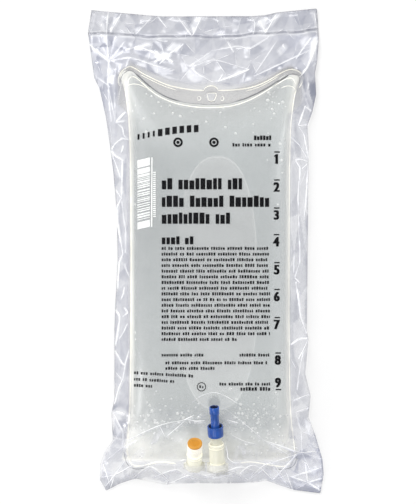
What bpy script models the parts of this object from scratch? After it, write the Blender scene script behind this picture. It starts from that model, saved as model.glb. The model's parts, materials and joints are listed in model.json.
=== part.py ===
"""Flexible intravenous solution bag, sealed in its crumpled clear overwrap and lying on its back.

Frame: +X to the right and +Y towards the hanger end, seen from above; +Z up out of the printed
front. The floor is z = 0 and the origin is under the middle of the pack. Every size below is in
millimetres, and MM turns it into metres where a mesh or a place is made.
"""
import math
import random

import bmesh
import bpy
import numpy as np
from mathutils import Vector, geometry
from mathutils.bvhtree import BVHTree

MM = 0.001

# Fits shared by all pieces
CLEARANCE = 0.3            # gap between pieces that touch
SIDES = 24                 # facets round a turned piece
CUT_SLACK = 0.002          # how far the volume left by a cut may be off, as a share

# Overwrap: lay-flat tube of film, sealed across both ends
FILM = 0.15                # film thickness
SEAL_GAP = 0.2             # room left between the two leaves at a fold or a seal
SIDE_FOLD = 1.0            # width of the pressed crease along each side
END_SEAL = 2.2             # width of the seal along the bottom edge
TOP_SLACK = 63.7           # from the bag's top edge up to the overwrap's top edge
HEADER = 18.5              # flat header above the top seal
BOTTOM_SLACK = 22.0        # from the folded port tail down to the overwrap's lowest corner
RIM_HEIGHT = 5.0           # the side creases lie this far above the floor
RIM_SAG = 3.6              # and drop by this much at the corners
TAIL_RIM = 7.0             # the bottom edge is lifted this far under the folded ports
VENT_RADIUS = 0.9          # pin vent through the back leaf
VENT_SIDES = 6

# How far each side edge stands out from the flat bag: share of the length, distance
LEFT_MARGIN = [(0.006, 7.8), (0.028, 12.5), (0.06, 12.5), (0.087, 8.6), (0.111, 2.4), (0.165, 3.6),
               (0.195, 1.2), (0.337, 1.2), (0.399, 0.4), (0.479, -1.3), (0.574, -0.7), (0.659, 1.9),
               (0.717, 4.7), (0.77, 7.5), (0.805, 10.2), (0.835, 12.8), (0.857, 16.9), (0.95, 21.9),
               (0.997, 19.1)]
RIGHT_MARGIN = [(0.0, 12.4), (0.04, 14.9), (0.069, 14.0), (0.122, 8.2), (0.158, 3.0), (0.201, 4.7),
                (0.247, 0.5), (0.319, 3.0), (0.337, 1.8), (0.523, 2.5), (0.717, 3.2), (0.758, 2.2),
                (0.787, 6.1), (0.823, 9.0), (0.866, 8.1), (0.894, 10.0), (0.938, 11.2), (1.0, 9.6)]
# How far the end edges fall short of the corners: share of the width, distance
TOP_DIP = [(0.0, 1.2), (0.166, 4.0), (0.317, 6.2), (0.708, 6.0), (0.771, 5.2), (0.828, 2.9), (1.0, 0.0)]
FOOT_RISE = [(0.0, 2.3), (0.084, 8.0), (0.158, 11.5), (0.24, 8.5), (0.281, 6.9), (0.34, 7.6),
             (0.417, 8.2), (0.532, 8.0), (0.681, 8.4), (0.751, 9.8), (0.802, 6.5), (0.877, 2.6),
             (1.0, 0.0)]

# The strongest creases meet at these points: from the bag's middle line, from the bag's top edge
TOP_CREASES = [(-79.0, 22.1, 3.0), (-79.0, 4.9, 2.4), (-38.4, 27.5, 3.0), (-14.3, 22.8, 2.4),
               (1.5, 23.0, 3.6), (29.7, 16.1, 3.0), (6.0, 11.4, 1.8), (26.3, 33.2, 2.4),
               (-60.1, 36.0, 2.4), (-14.3, 35.5, 1.8), (56.0, 41.2, 1.8), (76.0, 23.8, 2.4),
               (78.5, 18.7, 1.8), (50.0, 24.0, 3.0), (-56.0, 20.0, 1.8)]
# The same at the port end: from the bag's middle line, from the fold of the port tail
FOOT_CREASES = [(-18.8, 36.2, 1.2), (-41.2, 30.5, 1.5), (-34.6, 21.6, 1.2), (-64.2, 14.9, 1.8),
                (13.8, 35.3, 1.2), (71.5, 9.4, 2.4), (-58.5, 18.0, 1.2), (45.0, 14.0, 1.8),
                (-45.0, -4.0, 2.4), (38.0, -6.0, 3.0), (60.0, -2.0, 1.8), (-70.0, -6.0, 1.8)]
CRUMPLE_STEP = 7.6         # spacing of the creases' meeting points in the loose ends
SMOOTH_STEP = 14.0         # spacing where the film lies smooth over the bag
BACK_STEP = 18.0           # spacing in the back leaf
CROWN_STEP = 8.0           # spacing in the header
CHOSEN_STEP = 4.0          # the chosen meeting points stay this far apart
FRONT_KEEP_OFF = 3.6       # meeting points stay this far inside the edges
CROWN_KEEP_OFF = 2.4
SCATTER_TRIES = 9000
SCATTER_SEED = 7
TENT_REACH = 5.0           # how far the creases round the folded tail stand beyond it at the sides
TENT_ROWS = [(-2.3, 7), (2.4, 6), (8.0, 5)]   # creases round the folded tail: beyond it, how many
RIM_STEP = 9.0             # spacing along the edges
CRUMPLE_LIFT = 2.0         # how high the loose film crumples
SMOOTH_LIFT = 0.25         # the same over the smooth middle
LOOSE_TOP = 0.78           # above this share of the length the film is loose
LOOSE_FOOT = 0.19          # and below this one
SMOOTH_HALF = 54.0 / 147.0     # half width of the smooth middle, as a share of the lay-flat width
LOOSE_BLEND = 8.0          # over this width the smooth middle turns into loose film
FOOT_SEAL_REACH = 16.0     # the bottom seal's width holds up to here above the lowest corner
BACK_CURL = 13.0           # width of the rise of the back leaf towards the folded edges
BACK_CURL_SHARE = 0.8      # how much of the edge's height that rise takes
BACK_RIPPLE = 0.8          # highest ripple of the back leaf beside the bag
UNDER_BAG_HALF = 46.0      # the back leaf lies flat this far from the bag's middle line
UNDER_BAG_END = 20.0       # and ends to lie flat this far before the chamber's ends
VENT_ROOM = 6.0            # no crease meets this close to the vent
HEADER_RISE = 1.2          # rise of the header towards its free edge
HEADER_WAVE = 0.9
FIRST_HEIGHT = 3.0         # where the front leaf starts before it settles
SETTLE_ROUNDS = 160        # rounds that let the front leaf down onto what is under it
SETTLE_SHARE = 0.5         # how far each of them evens it out
EASE_ROUNDS = 5            # the same after the creases are raised
EASE_SHARE = 0.2
LIFT_ROUNDS = 200          # rounds that only lift what would cut in

# Container: flexible tube of clear film, flattened and sealed at both ends
BAG_FLAT = 147.0           # lay-flat width of the tube
BAG_THICK = 38.0           # thickness of the filled bag
CHAMBER = 277.0            # length between the two end seals, on the middle line
WALL = 0.4                 # film thickness
SEAL_THICK = 0.8           # the two walls welded together
TOP_BAND = 10.3            # width of the top seal at its middle
TOP_BAND_EAR = 6.0         # its width at the ears
EAR_RISE = 23.5            # the ears stand this far above the middle of the top seal
EAR_REACH = 60.0           # distance from the middle line to the ears' tips
EAR_POWER = 2.4            # how sharply the top seal sweeps up to the ears
EAR_CORNER = 12.0          # corner radius of the ears
FOOT_BAND = 5.0            # width of the bottom seal
FOOT_CORNER = 16.0         # corner radius at the bottom
END_POWER = 8.3            # how full the bag stays towards its ends
END_ROUND = 0.83
SECTION_POWER = 2.4        # cross-section: 2 is an ellipse, more is boxier
BELLY_PRESS = 1.3          # how much of the underside is pressed flat
CREST_LEAN = 0.054         # the crest sits a little to the right of the middle
TOP_SEAL_HEIGHT = 9.0      # height of the top seal above the floor
FOOT_SEAL_HEIGHT = 12.0    # height of the bottom seal above the floor
TOP_DROOP = 2.0            # the top band droops by this much
HEADSPACE = 1.6            # depth of the air pocket under the crest
PORT_DENT = 3.2            # the folded port presses this deep into the front
DENT_PLACE = 27.0          # from the fold up to the middle of that dent
DENT_ACROSS = 14.0
DENT_ALONG = 17.0
RING_POINTS = 32           # facets round the bag
CHAMBER_RINGS = 20         # stations along the chamber

# Hanger end
HANGER_WIDE = 7.0
HANGER_NARROW = 4.6
HANGER_DEPTH = 5.6
HANGER_INSET = 2.6         # from the bag's top edge down to the hanger hole
HANGER_LIP = 5.2           # radius of the lip that stands above the hole
HANGER_LIP_RISE = 3.8

# Port tail: the middle of the bottom seal, folded up over the front with both ports
TAIL_HALF = 24.0           # half width of the folded tail
TAIL_LENGTH = 6.0          # straight stretch past the fold
TAIL_THICK = 1.1
BOSS_WALL = 0.55           # weld sleeve round a port tube
BOSS_FLARE = 0.9           # how much wider the sleeve is at its foot
BOSS_DEPTH = 5.0           # how much of a port tube the sleeve holds
LUMEN = 1.1                # radius of the fluid way through the folded tail
LUMEN_WALL = 1.1           # film round that way

# Administration port
ADMIN_X = 9.1
ADMIN_TILT = 23.0          # rise of the port above the floor plane, degrees
ADMIN_LEAN = -2.9          # sideways lean, degrees
ADMIN_BEND = 6.5           # fold radius of the tail at this port
ADMIN_RADIUS = 5.95        # outer radius of the port tube
ADMIN_LENGTH = 21.3
ADMIN_RIM = 3.6            # length of the thicker mouth ring
RIM_STEP_OUT = 0.3         # how far a mouth ring stands out
MEMBRANE_RADIUS = 4.5      # outer radius of the membrane tube
MEMBRANE_BORE = 3.6
MEMBRANE_FOOT = 7.0        # where the membrane tube begins inside the port tube
MEMBRANE_DISC = 0.6        # thickness of the membrane that the spike goes through
MEMBRANE_DEPTH = 14.0      # from the tube's open end down to the membrane
SKIRT_START = 27.7         # where the protector's skirt begins
SKIRT_LENGTH = 8.7
SKIRT_WALL = 1.05
SKIRT_RECESS = 3.4         # depth of the ring groove round the neck
SKIRT_WEB = 0.9            # wall between that groove and the space under it
NECK_RADIUS = 3.45
HEAD_RADIUS = 3.8
HEAD_LENGTH = 3.9
PROTECTOR_LENGTH = 24.8    # from the skirt's edge to the end of the head
PROTECTOR_BORE = 2.7
PROTECTOR_PULL = 7.0       # travel that the overwrap leaves to the protector

# Medication port
MED_X = -8.9
MED_TILT = 46.0
MED_LEAN = 1.0
MED_BEND = 5.0
MED_RADIUS = 5.7
MED_LENGTH = 14.6
MED_SETBACK = 2.8          # the tail folds this much sooner at this port
MED_RIM = 2.6
MED_WALL = 1.1
SLEEVE_RADIUS = 5.8        # flange of the injection-site sleeve
SLEEVE_LENGTH = 7.4
SLEEVE_NECK = 2.8          # neck that shows between the port tube and that flange
SLEEVE_SPIGOT = 9.0        # part of the sleeve that sits in the port tube
SLEEVE_GROOVE = 0.45
SLEEVE_WALL = 1.2
PLUG_RADIUS = 5.7          # resealing plug
PLUG_THICK = 2.1
PLUG_RING = 3.9            # radius of the faint ring in its face
PLUG_RELIEF = 0.25
PLUG_STEM = 5.0

# What follows from the sizes above
PACK_LENGTH = TOP_SLACK + TOP_BAND + CHAMBER + FOOT_BAND + BOTTOM_SLACK
PACK_TOP = PACK_LENGTH / 2.0
PACK_BOTTOM = -PACK_TOP
FOLD_Y = PACK_BOTTOM + BOTTOM_SLACK
CHAMBER_BOTTOM = FOLD_Y + FOOT_BAND
CHAMBER_TOP = CHAMBER_BOTTOM + CHAMBER
CHAMBER_MIDDLE = (CHAMBER_BOTTOM + CHAMBER_TOP) / 2.0
BAG_TOP = CHAMBER_TOP + TOP_BAND
BAG_X = (max(m for t, m in LEFT_MARGIN) - max(m for t, m in RIGHT_MARGIN)) / 2.0
BAG_FLOOR = FILM + CLEARANCE
SEAL_Y = PACK_TOP - HEADER
FLUID_LEVEL = BAG_FLOOR + BAG_THICK - WALL - CLEARANCE - HEADSPACE
# A flattened tube keeps its girth, so it narrows as it fills
GIRTH_SHARE = math.pi / 2.0 - 1.0


def fresh_scene():
    """Empty the file and make one collection for the parts."""
    for thing in list(bpy.data.objects):
        bpy.data.objects.remove(thing, do_unlink=True)
    parts = bpy.data.collections.new("iv_fluid_bag")
    bpy.context.scene.collection.children.link(parts)
    guides = bpy.data.collections.new("guides")
    bpy.context.scene.collection.children.link(guides)
    return parts, guides


def material(name, colour, roughness, metallic=0.0, alpha=1.0):
    """One Principled material."""
    mat = bpy.data.materials.new(name)
    mat.use_nodes = True
    shader = mat.node_tree.nodes["Principled BSDF"]
    shader.inputs["Base Color"].default_value = (*colour, 1.0)
    shader.inputs["Roughness"].default_value = roughness
    shader.inputs["Metallic"].default_value = metallic
    shader.inputs["Alpha"].default_value = alpha
    mat.diffuse_color = (*colour, alpha)
    return mat


def add_mesh(name, points, faces, collection, mat=None):
    """Mesh object from points in millimetres."""
    mesh = bpy.data.meshes.new(name)
    mesh.from_pydata([Vector(p) * MM for p in points], [], faces)
    mesh.validate()
    mesh.update()
    obj = bpy.data.objects.new(name, mesh)
    collection.objects.link(obj)
    if mat:
        mesh.materials.append(mat)
    return obj


def world_mesh(obj):
    """World points and triangles of an object as it is evaluated."""
    bpy.context.view_layer.update()
    graph = bpy.context.evaluated_depsgraph_get()
    shown = obj.evaluated_get(graph)
    mesh = shown.to_mesh()
    mesh.calc_loop_triangles()
    points = [shown.matrix_world @ v.co for v in mesh.vertices]
    triangles = [tuple(t.vertices) for t in mesh.loop_triangles]
    shown.to_mesh_clear()
    return points, triangles


def smooth(value):
    """0 to 1 with soft ends."""
    value = min(1.0, max(0.0, value))
    return value * value * (3.0 - 2.0 * value)


def along(table, share):
    """Value at a share of a hand-set list, straight between its entries."""
    return float(np.interp(share, [row[0] for row in table], [row[1] for row in table]))


# The container's form

def thickness(s):
    """Bag thickness at s, from -1 at the bottom seal to 1 at the top seal."""
    return BAG_THICK * max(0.0, 1.0 - abs(s) ** END_POWER) ** END_ROUND


def middle_height(s):
    """Height of the widest line: half the thickness in the middle, the seals' height at the ends."""
    end = TOP_SEAL_HEIGHT if s > 0 else FOOT_SEAL_HEIGHT
    slack = (1.0 - thickness(s) / BAG_THICK) ** 1.5
    return BAG_FLOOR + thickness(s) / 2.0 + (end - BAG_FLOOR) * slack


def corner_cut(distance, radius):
    """How much a rounded corner takes off the half width at a distance from the end."""
    if distance >= radius:
        return 0.0
    return radius - math.sqrt(max(0.0, radius ** 2 - (radius - distance) ** 2))


def half_width(s):
    """Half width of the bag at s."""
    to_top = (1.0 - s) * CHAMBER / 2.0 + TOP_BAND_EAR
    to_foot = (1.0 + s) * CHAMBER / 2.0 + FOOT_BAND
    cut = corner_cut(to_top, EAR_CORNER) + corner_cut(to_foot, FOOT_CORNER)
    return (BAG_FLAT - GIRTH_SHARE * thickness(s)) / 2.0 - cut


def ear_rise(x):
    """How far the top seal sweeps up at x."""
    return EAR_RISE * (min(abs(x), EAR_REACH) / EAR_REACH) ** EAR_POWER


def ring_angles():
    return [2.0 * math.pi * k / RING_POINTS for k in range(RING_POINTS)]


def across(angle, reach):
    """x on a rounded-box section at an angle."""
    c = math.cos(angle)
    return math.copysign(abs(c) ** (2.0 / SECTION_POWER), c) * reach


def chamber_ring(s, inset):
    """Section of the chamber at s, as points, set in from the outer skin."""
    reach = half_width(s) - inset
    half = max(thickness(s) - 2.0 * inset, SEAL_THICK if inset == 0 else 0.25) / 2.0
    height = middle_height(s)
    ring = []
    for angle in ring_angles():
        x = across(angle, reach)
        rise = abs(math.sin(angle)) ** (2.0 / SECTION_POWER)
        if math.sin(angle) >= 0:
            z = height + half * rise * (1.0 + CREST_LEAN * x / reach)
        else:
            z = height - half * min(1.0, BELLY_PRESS * rise)
        sweep = smooth((s - 0.35) / 0.65) * ear_rise(across(angle, half_width(s)))
        y = CHAMBER_MIDDLE + s * CHAMBER / 2.0 + sweep
        if z > height:
            z = max(height, z - port_dent(BAG_X + x, y) * rise)
        ring.append((BAG_X + x, y, z))
    return ring


def port_dent(x, y):
    """Depth of the soft dent under the administration port."""
    across_share = (x - ADMIN_X) / DENT_ACROSS
    along_share = (y - FOLD_Y - DENT_PLACE) / DENT_ALONG
    return PORT_DENT * math.exp(-across_share ** 2 - along_share ** 2)


def chamber_end(inset, side):
    """Where the room inside the skin ends, found by halving."""
    low, high = 0.5, 1.0
    for step in range(40):
        mid = (low + high) / 2.0
        if thickness(mid) - 2.0 * inset > 0.5:
            low = mid
        else:
            high = mid
    return side * low


def stations(first, last, count):
    """Stations along the chamber, closer together towards both ends."""
    middle, half = (first + last) / 2.0, (last - first) / 2.0
    return [middle + half * math.sin(math.pi / 2.0 * (2.0 * k / (count - 1) - 1.0))
            for k in range(count)]


def band_ring(end_ring, share, top):
    """Flat seal beyond the chamber: share runs from 0 at the chamber to 1 at the edge."""
    corner = EAR_CORNER if top else FOOT_CORNER
    width = TOP_BAND_EAR if top else FOOT_BAND
    reach = BAG_FLAT / 2.0 - corner_cut(width * (1.0 - share), corner)
    ring = []
    for angle, old in zip(ring_angles(), end_ring):
        x = across(angle, reach)
        rise = abs(math.sin(angle)) ** (2.0 / SECTION_POWER)
        thin = SEAL_THICK / 2.0 * math.copysign(min(1.0, 2.0 * rise), math.sin(angle))
        if abs(math.sin(angle)) < 1e-6:
            thin = 0.0
        if top:
            band = TOP_BAND + (TOP_BAND_EAR - TOP_BAND) * min(1.0, (x / EAR_REACH) ** 2)
            y = CHAMBER_TOP + ear_rise(x) + share * band
            z = TOP_SEAL_HEIGHT - TOP_DROOP * share + thin
        else:
            y = CHAMBER_BOTTOM - share * FOOT_BAND
            z = FOOT_SEAL_HEIGHT + thin
        ring.append((BAG_X + x, y, z))
    return ring


def loft(name, rings, collection, mat=None):
    """Closed solid through a row of rings that run the same way round."""
    count = len(rings[0])
    points = [p for ring in rings for p in ring]
    faces = []
    for r in range(len(rings) - 1):
        for k in range(count):
            n = (k + 1) % count
            a, b = r * count, (r + 1) * count
            faces.append((a + k, a + n, b + n))
            faces.append((a + k, b + n, b + k))
    faces += end_cap(0, count, False)
    faces += end_cap((len(rings) - 1) * count, count, True)
    obj = add_mesh(name, points, faces, collection, mat)
    mend_normals(obj)
    return obj


def end_cap(start, count, flip):
    """Cap of a ring whose upper and lower halves face each other."""
    faces = []
    for k in range(count // 2):
        a, b = start + k, start + k + 1
        c, d = start + (count - k - 1) % count, start + (count - k) % count
        face = [p for p in (a, b, c, d)]
        face = list(dict.fromkeys(face))
        faces.append(tuple(reversed(face)) if flip else tuple(face))
    return faces


def mend_normals(obj):
    """Point all faces outwards."""
    bm = bmesh.new()
    bm.from_mesh(obj.data)
    bmesh.ops.recalc_face_normals(bm, faces=bm.faces)
    bm.to_mesh(obj.data)
    bm.free()


def bag_loft(name, inset, collection, mat=None):
    """The bag's outer skin, or what lies inside it, on the same stations."""
    shared = stations(chamber_end(WALL, -1.0), chamber_end(WALL, 1.0), CHAMBER_RINGS)
    if inset == 0:
        foot, top = chamber_ring(-1.0, 0.0), chamber_ring(1.0, 0.0)
        rings = [band_ring(foot, share, False) for share in (1.0, 0.4)]
        rings += [chamber_ring(s, 0.0) for s in shared]
        rings += [band_ring(top, share, True) for share in (0.05, 0.5, 1.0)]
    else:
        kept = shared if inset == WALL else shared[1:-1]
        rings = [chamber_ring(s, inset) for s in kept]
    return loft(name, rings, collection, mat)


def tail_point(x, distance, tilt, bend):
    """Middle surface of the folded tail at a distance along it from the start of the fold."""
    turn = math.radians(180.0 - tilt)
    arc = bend * turn
    start = FOLD_Y + MED_SETBACK * (1.0 - smooth((x - MED_X) / (ADMIN_X - MED_X)))
    if distance <= 0:
        return Vector((x, start - distance, FOOT_SEAL_HEIGHT))
    angle = min(distance, arc) / bend
    point = Vector((x, start - bend * math.sin(angle),
                    FOOT_SEAL_HEIGHT + bend * (1.0 - math.cos(angle))))
    if distance > arc:
        point += (distance - arc) * Vector((0.0, -math.cos(turn), math.sin(turn)))
    return point


def port_frame(tilt, lean, x, bend):
    """Foot and direction of a port's axis."""
    foot = tail_point(x, bend * math.radians(180.0 - tilt) + 1.0, tilt, bend)
    up, side = math.radians(tilt), math.radians(lean)
    axis = Vector((math.sin(side), math.cos(side) * math.cos(up), math.cos(side) * math.sin(up)))
    return foot, axis


def tail_web(collection):
    """Folded middle of the bottom seal: a bent strip whose fold follows each port."""
    columns, rows = 9, 10
    middle = (ADMIN_X + MED_X) / 2.0
    grid = []
    for c in range(columns):
        x = middle + TAIL_HALF * (2.0 * c / (columns - 1) - 1.0)
        share = smooth((x - MED_X) / (ADMIN_X - MED_X))
        tilt = MED_TILT + (ADMIN_TILT - MED_TILT) * share
        bend = MED_BEND + (ADMIN_BEND - MED_BEND) * share
        total = bend * math.radians(180.0 - tilt) + TAIL_LENGTH
        start = -FOOT_BAND * 0.8
        edge = 3.0 * smooth((abs(x - middle) - TAIL_HALF * 0.6) / (TAIL_HALF * 0.4))
        for r in range(rows):
            grid.append(tail_point(x, start + (total - edge - start) * r / (rows - 1), tilt, bend))
    faces = []
    for c in range(columns - 1):
        for r in range(rows - 1):
            a = c * rows + r
            faces.append((a, a + rows, a + rows + 1, a + 1))
    web = add_mesh("tail_web", grid, faces, collection)
    shell = web.modifiers.new("thickness", "SOLIDIFY")
    shell.thickness = TAIL_THICK * MM
    shell.offset = 0.0
    return web


def tube_path(name, route, collection):
    """Tube of varying radius along a route of (point, radius)."""
    curve = bpy.data.curves.new(name, "CURVE")
    curve.dimensions = "3D"
    curve.bevel_depth = MM
    curve.bevel_resolution = 4
    curve.use_fill_caps = True
    spline = curve.splines.new("POLY")
    spline.points.add(len(route) - 1)
    for slot, (point, radius) in zip(spline.points, route):
        slot.co = (*(Vector(point) * MM), 1.0)
        slot.radius = radius
    obj = bpy.data.objects.new(name, curve)
    collection.objects.link(obj)
    return as_mesh(obj, collection)


def as_mesh(obj, collection):
    """Mesh copy of a curve or of an object with modifiers; the old object goes."""
    bpy.context.view_layer.update()
    graph = bpy.context.evaluated_depsgraph_get()
    mesh = bpy.data.meshes.new_from_object(obj.evaluated_get(graph))
    place, name = obj.matrix_world.copy(), obj.name
    bpy.data.objects.remove(obj, do_unlink=True)
    bm = bmesh.new()
    bm.from_mesh(mesh)
    bmesh.ops.remove_doubles(bm, verts=bm.verts, dist=1e-6)
    bmesh.ops.recalc_face_normals(bm, faces=bm.faces)
    bm.to_mesh(mesh)
    bm.free()
    copy = bpy.data.objects.new(name, mesh)
    copy.matrix_world = place
    collection.objects.link(copy)
    return copy


def volume(mesh):
    """Volume of a mesh in cubic millimetres."""
    bm = bmesh.new()
    bm.from_mesh(mesh)
    found = bm.calc_volume() / MM ** 3
    bm.free()
    return found


def combine(body, tools, operation):
    """Join or cut a mesh object by others, one after another; they are then removed.
    A cut that comes out wrong is made again the slower way, which allows for crossed facets."""
    for tool in tools:
        before, other = volume(body.data), volume(tool.data)
        low, high = (before, before + other) if operation == "UNION" else (before - other, before)
        slack = CUT_SLACK * before
        for careful in (False, True):
            change = body.modifiers.new(operation.lower(), "BOOLEAN")
            change.operation = operation
            change.object = tool
            change.use_self = careful
            bpy.context.view_layer.update()
            graph = bpy.context.evaluated_depsgraph_get()
            mesh = bpy.data.meshes.new_from_object(body.evaluated_get(graph))
            body.modifiers.clear()
            if low - slack < volume(mesh) < high + slack:
                break
        body.data = mesh
        bpy.data.objects.remove(tool, do_unlink=True)


def boss_route(x, tilt, lean, bend, bore):
    """Weld sleeve round a port tube: thin through the fold, flared round the tube's foot."""
    thin = LUMEN + LUMEN_WALL
    arc = bend * math.radians(180.0 - tilt)
    route = [(tail_point(x, -FOOT_BAND - 9.0, tilt, bend) + Vector((0, 0, 1.0)), thin)]
    route += [(tail_point(x, arc * share, tilt, bend), thin) for share in (-0.3, 0.0, 0.25, 0.5, 0.75)]
    foot, axis = port_frame(tilt, lean, x, bend)
    route.append((foot - axis * 1.6, bore * 0.75))
    route.append((foot - axis * 0.9, bore + BOSS_WALL + BOSS_FLARE))
    route.append((foot + axis * 1.2, bore + BOSS_WALL + BOSS_FLARE * 0.8))
    route.append((foot + axis * 3.0, bore + BOSS_WALL + BOSS_FLARE * 0.2))
    route.append((foot + axis * BOSS_DEPTH, bore + BOSS_WALL))
    return route


def lumen_route(x, tilt, lean, bend):
    """Fluid way from the chamber through the fold into the port."""
    arc = bend * math.radians(180.0 - tilt)
    route = [(tail_point(x, -FOOT_BAND - 12.0, tilt, bend) + Vector((0, 0, 1.5)), LUMEN)]
    route += [(tail_point(x, arc * share, tilt, bend), LUMEN)
              for share in (-0.3, 0.0, 0.25, 0.5, 0.75, 0.95)]
    foot, axis = port_frame(tilt, lean, x, bend)
    route.append((foot + axis * 0.5, LUMEN))
    return route


def bore_cutter(foot, axis, start, end, radius, collection):
    """Cylinder along a port's axis."""
    bm = bmesh.new()
    bmesh.ops.create_cone(bm, cap_ends=True, segments=SIDES, radius1=radius * MM,
                          radius2=radius * MM, depth=(end - start) * MM)
    mesh = bpy.data.meshes.new("bore")
    bm.to_mesh(mesh)
    bm.free()
    cutter = bpy.data.objects.new("bore", mesh)
    cutter.location = (foot + axis * (start + end) / 2.0) * MM
    cutter.rotation_euler = axis.to_track_quat("Z", "Y").to_euler()
    collection.objects.link(cutter)
    return cutter


def hanger_hole(collection):
    """Cutter for the hole that the bag hangs from."""
    top = BAG_TOP - HANGER_INSET
    outline = [(-HANGER_WIDE / 2, top), (HANGER_WIDE / 2, top),
               (HANGER_NARROW / 2, top - HANGER_DEPTH), (-HANGER_NARROW / 2, top - HANGER_DEPTH)]
    points = [(BAG_X + x, y, TOP_SEAL_HEIGHT + z) for z in (-6.0, 6.0) for x, y in outline]
    faces = [(0, 1, 2, 3), (7, 6, 5, 4)] + [(k, (k + 1) % 4, (k + 1) % 4 + 4, k + 4) for k in range(4)]
    cutter = add_mesh("hanger_hole", points, faces, collection)
    mend_normals(cutter)
    return cutter


def hanger_lip(collection):
    """Arched lip that stands above the top edge at the hanger hole."""
    count = 12
    height = TOP_SEAL_HEIGHT - TOP_DROOP * 0.7
    outline = [(-HANGER_LIP, -3.0), (HANGER_LIP, -3.0)]
    outline += [(HANGER_LIP * math.cos(math.pi * k / count),
                 HANGER_LIP_RISE * math.sin(math.pi * k / count)) for k in range(count + 1)]
    sides = len(outline)
    points = [(BAG_X + x, BAG_TOP + y, height + z) for z in (-0.7, 0.5) for x, y in outline]
    faces = [tuple(range(sides)), tuple(range(2 * sides - 1, sides - 1, -1))]
    faces += [(k, (k + 1) % sides, (k + 1) % sides + sides, k + sides) for k in range(sides)]
    lip = add_mesh("hanger_lip", points, faces, collection)
    mend_normals(lip)
    return lip


def container(parts, guides, mat):
    """Tube bag with both seals, hanger hole, folded port tail and its room for the solution."""
    body = bag_loft("container", 0.0, parts, mat)
    web = as_mesh(tail_web(guides), guides)
    admin_bore = ADMIN_RADIUS + CLEARANCE
    med_bore = MED_RADIUS + CLEARANCE
    admin = (ADMIN_X, ADMIN_TILT, ADMIN_LEAN, ADMIN_BEND)
    med = (MED_X, MED_TILT, MED_LEAN, MED_BEND)
    bosses = [tube_path("boss", boss_route(*admin, admin_bore), guides),
              tube_path("boss", boss_route(*med, med_bore), guides)]
    combine(body, [web, hanger_lip(guides)] + bosses, "UNION")
    cuts = [bag_loft("room", WALL, guides), hanger_hole(guides)]
    for port, bore in ((admin, admin_bore), (med, med_bore)):
        x, tilt, lean, bend = port
        foot, axis = port_frame(tilt, lean, x, bend)
        cuts.append(tube_path("lumen", lumen_route(*port), guides))
        cuts.append(bore_cutter(foot, axis, -CLEARANCE, BOSS_DEPTH + 6.0, bore, guides))
    combine(body, cuts, "DIFFERENCE")
    return body


def solution(parts, mat):
    """Liquid: fills the container up to a level surface, which leaves an air pocket under the crest."""
    body = bag_loft("solution", WALL + CLEARANCE, parts, mat)
    bm = bmesh.new()
    bm.from_mesh(body.data)
    everything = bm.verts[:] + bm.edges[:] + bm.faces[:]
    cut = bmesh.ops.bisect_plane(bm, geom=everything, plane_co=(0, 0, FLUID_LEVEL * MM),
                                 plane_no=(0, 0, 1), clear_outer=True)
    rim = [e for e in cut["geom_cut"] if isinstance(e, bmesh.types.BMEdge)]
    bmesh.ops.contextual_create(bm, geom=rim)
    bmesh.ops.triangulate(bm, faces=bm.faces)
    bmesh.ops.recalc_face_normals(bm, faces=bm.faces)
    bm.to_mesh(body.data)
    bm.free()
    return body


# Turned port pieces

def turned(name, profile, frame, parts, mat, flip=False):
    """Solid of revolution about the port's axis; the profile runs down its outer side."""
    mesh = bpy.data.meshes.new(name)
    points = [(radius * MM, 0.0, height * MM) for radius, height in profile]
    count = len(points)
    closed = profile[0][0] > 0 or profile[-1][0] > 0
    edges = [(k, k + 1) for k in range(count - 1)] + ([(count - 1, 0)] if closed else [])
    mesh.from_pydata(points, edges, [])
    mesh.materials.append(mat)
    obj = bpy.data.objects.new(name, mesh)
    parts.objects.link(obj)
    obj.parent = frame
    screw = obj.modifiers.new("turn", "SCREW")
    screw.axis = "Z"
    screw.steps = SIDES
    screw.render_steps = SIDES
    screw.use_merge_vertices = True
    screw.merge_threshold = 1e-6
    screw.use_normal_calculate = True
    screw.use_normal_flip = flip
    screw.use_smooth_shade = True
    return obj


def axis_empty(name, foot, axis, parts):
    """Empty at a port's foot with Z along its axis; the port's pieces hang on it."""
    empty = bpy.data.objects.new(name, None)
    empty.location = foot * MM
    empty.rotation_euler = axis.to_track_quat("Z", "Y").to_euler()
    empty.empty_display_size = 0.01
    parts.objects.link(empty)
    return empty


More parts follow.
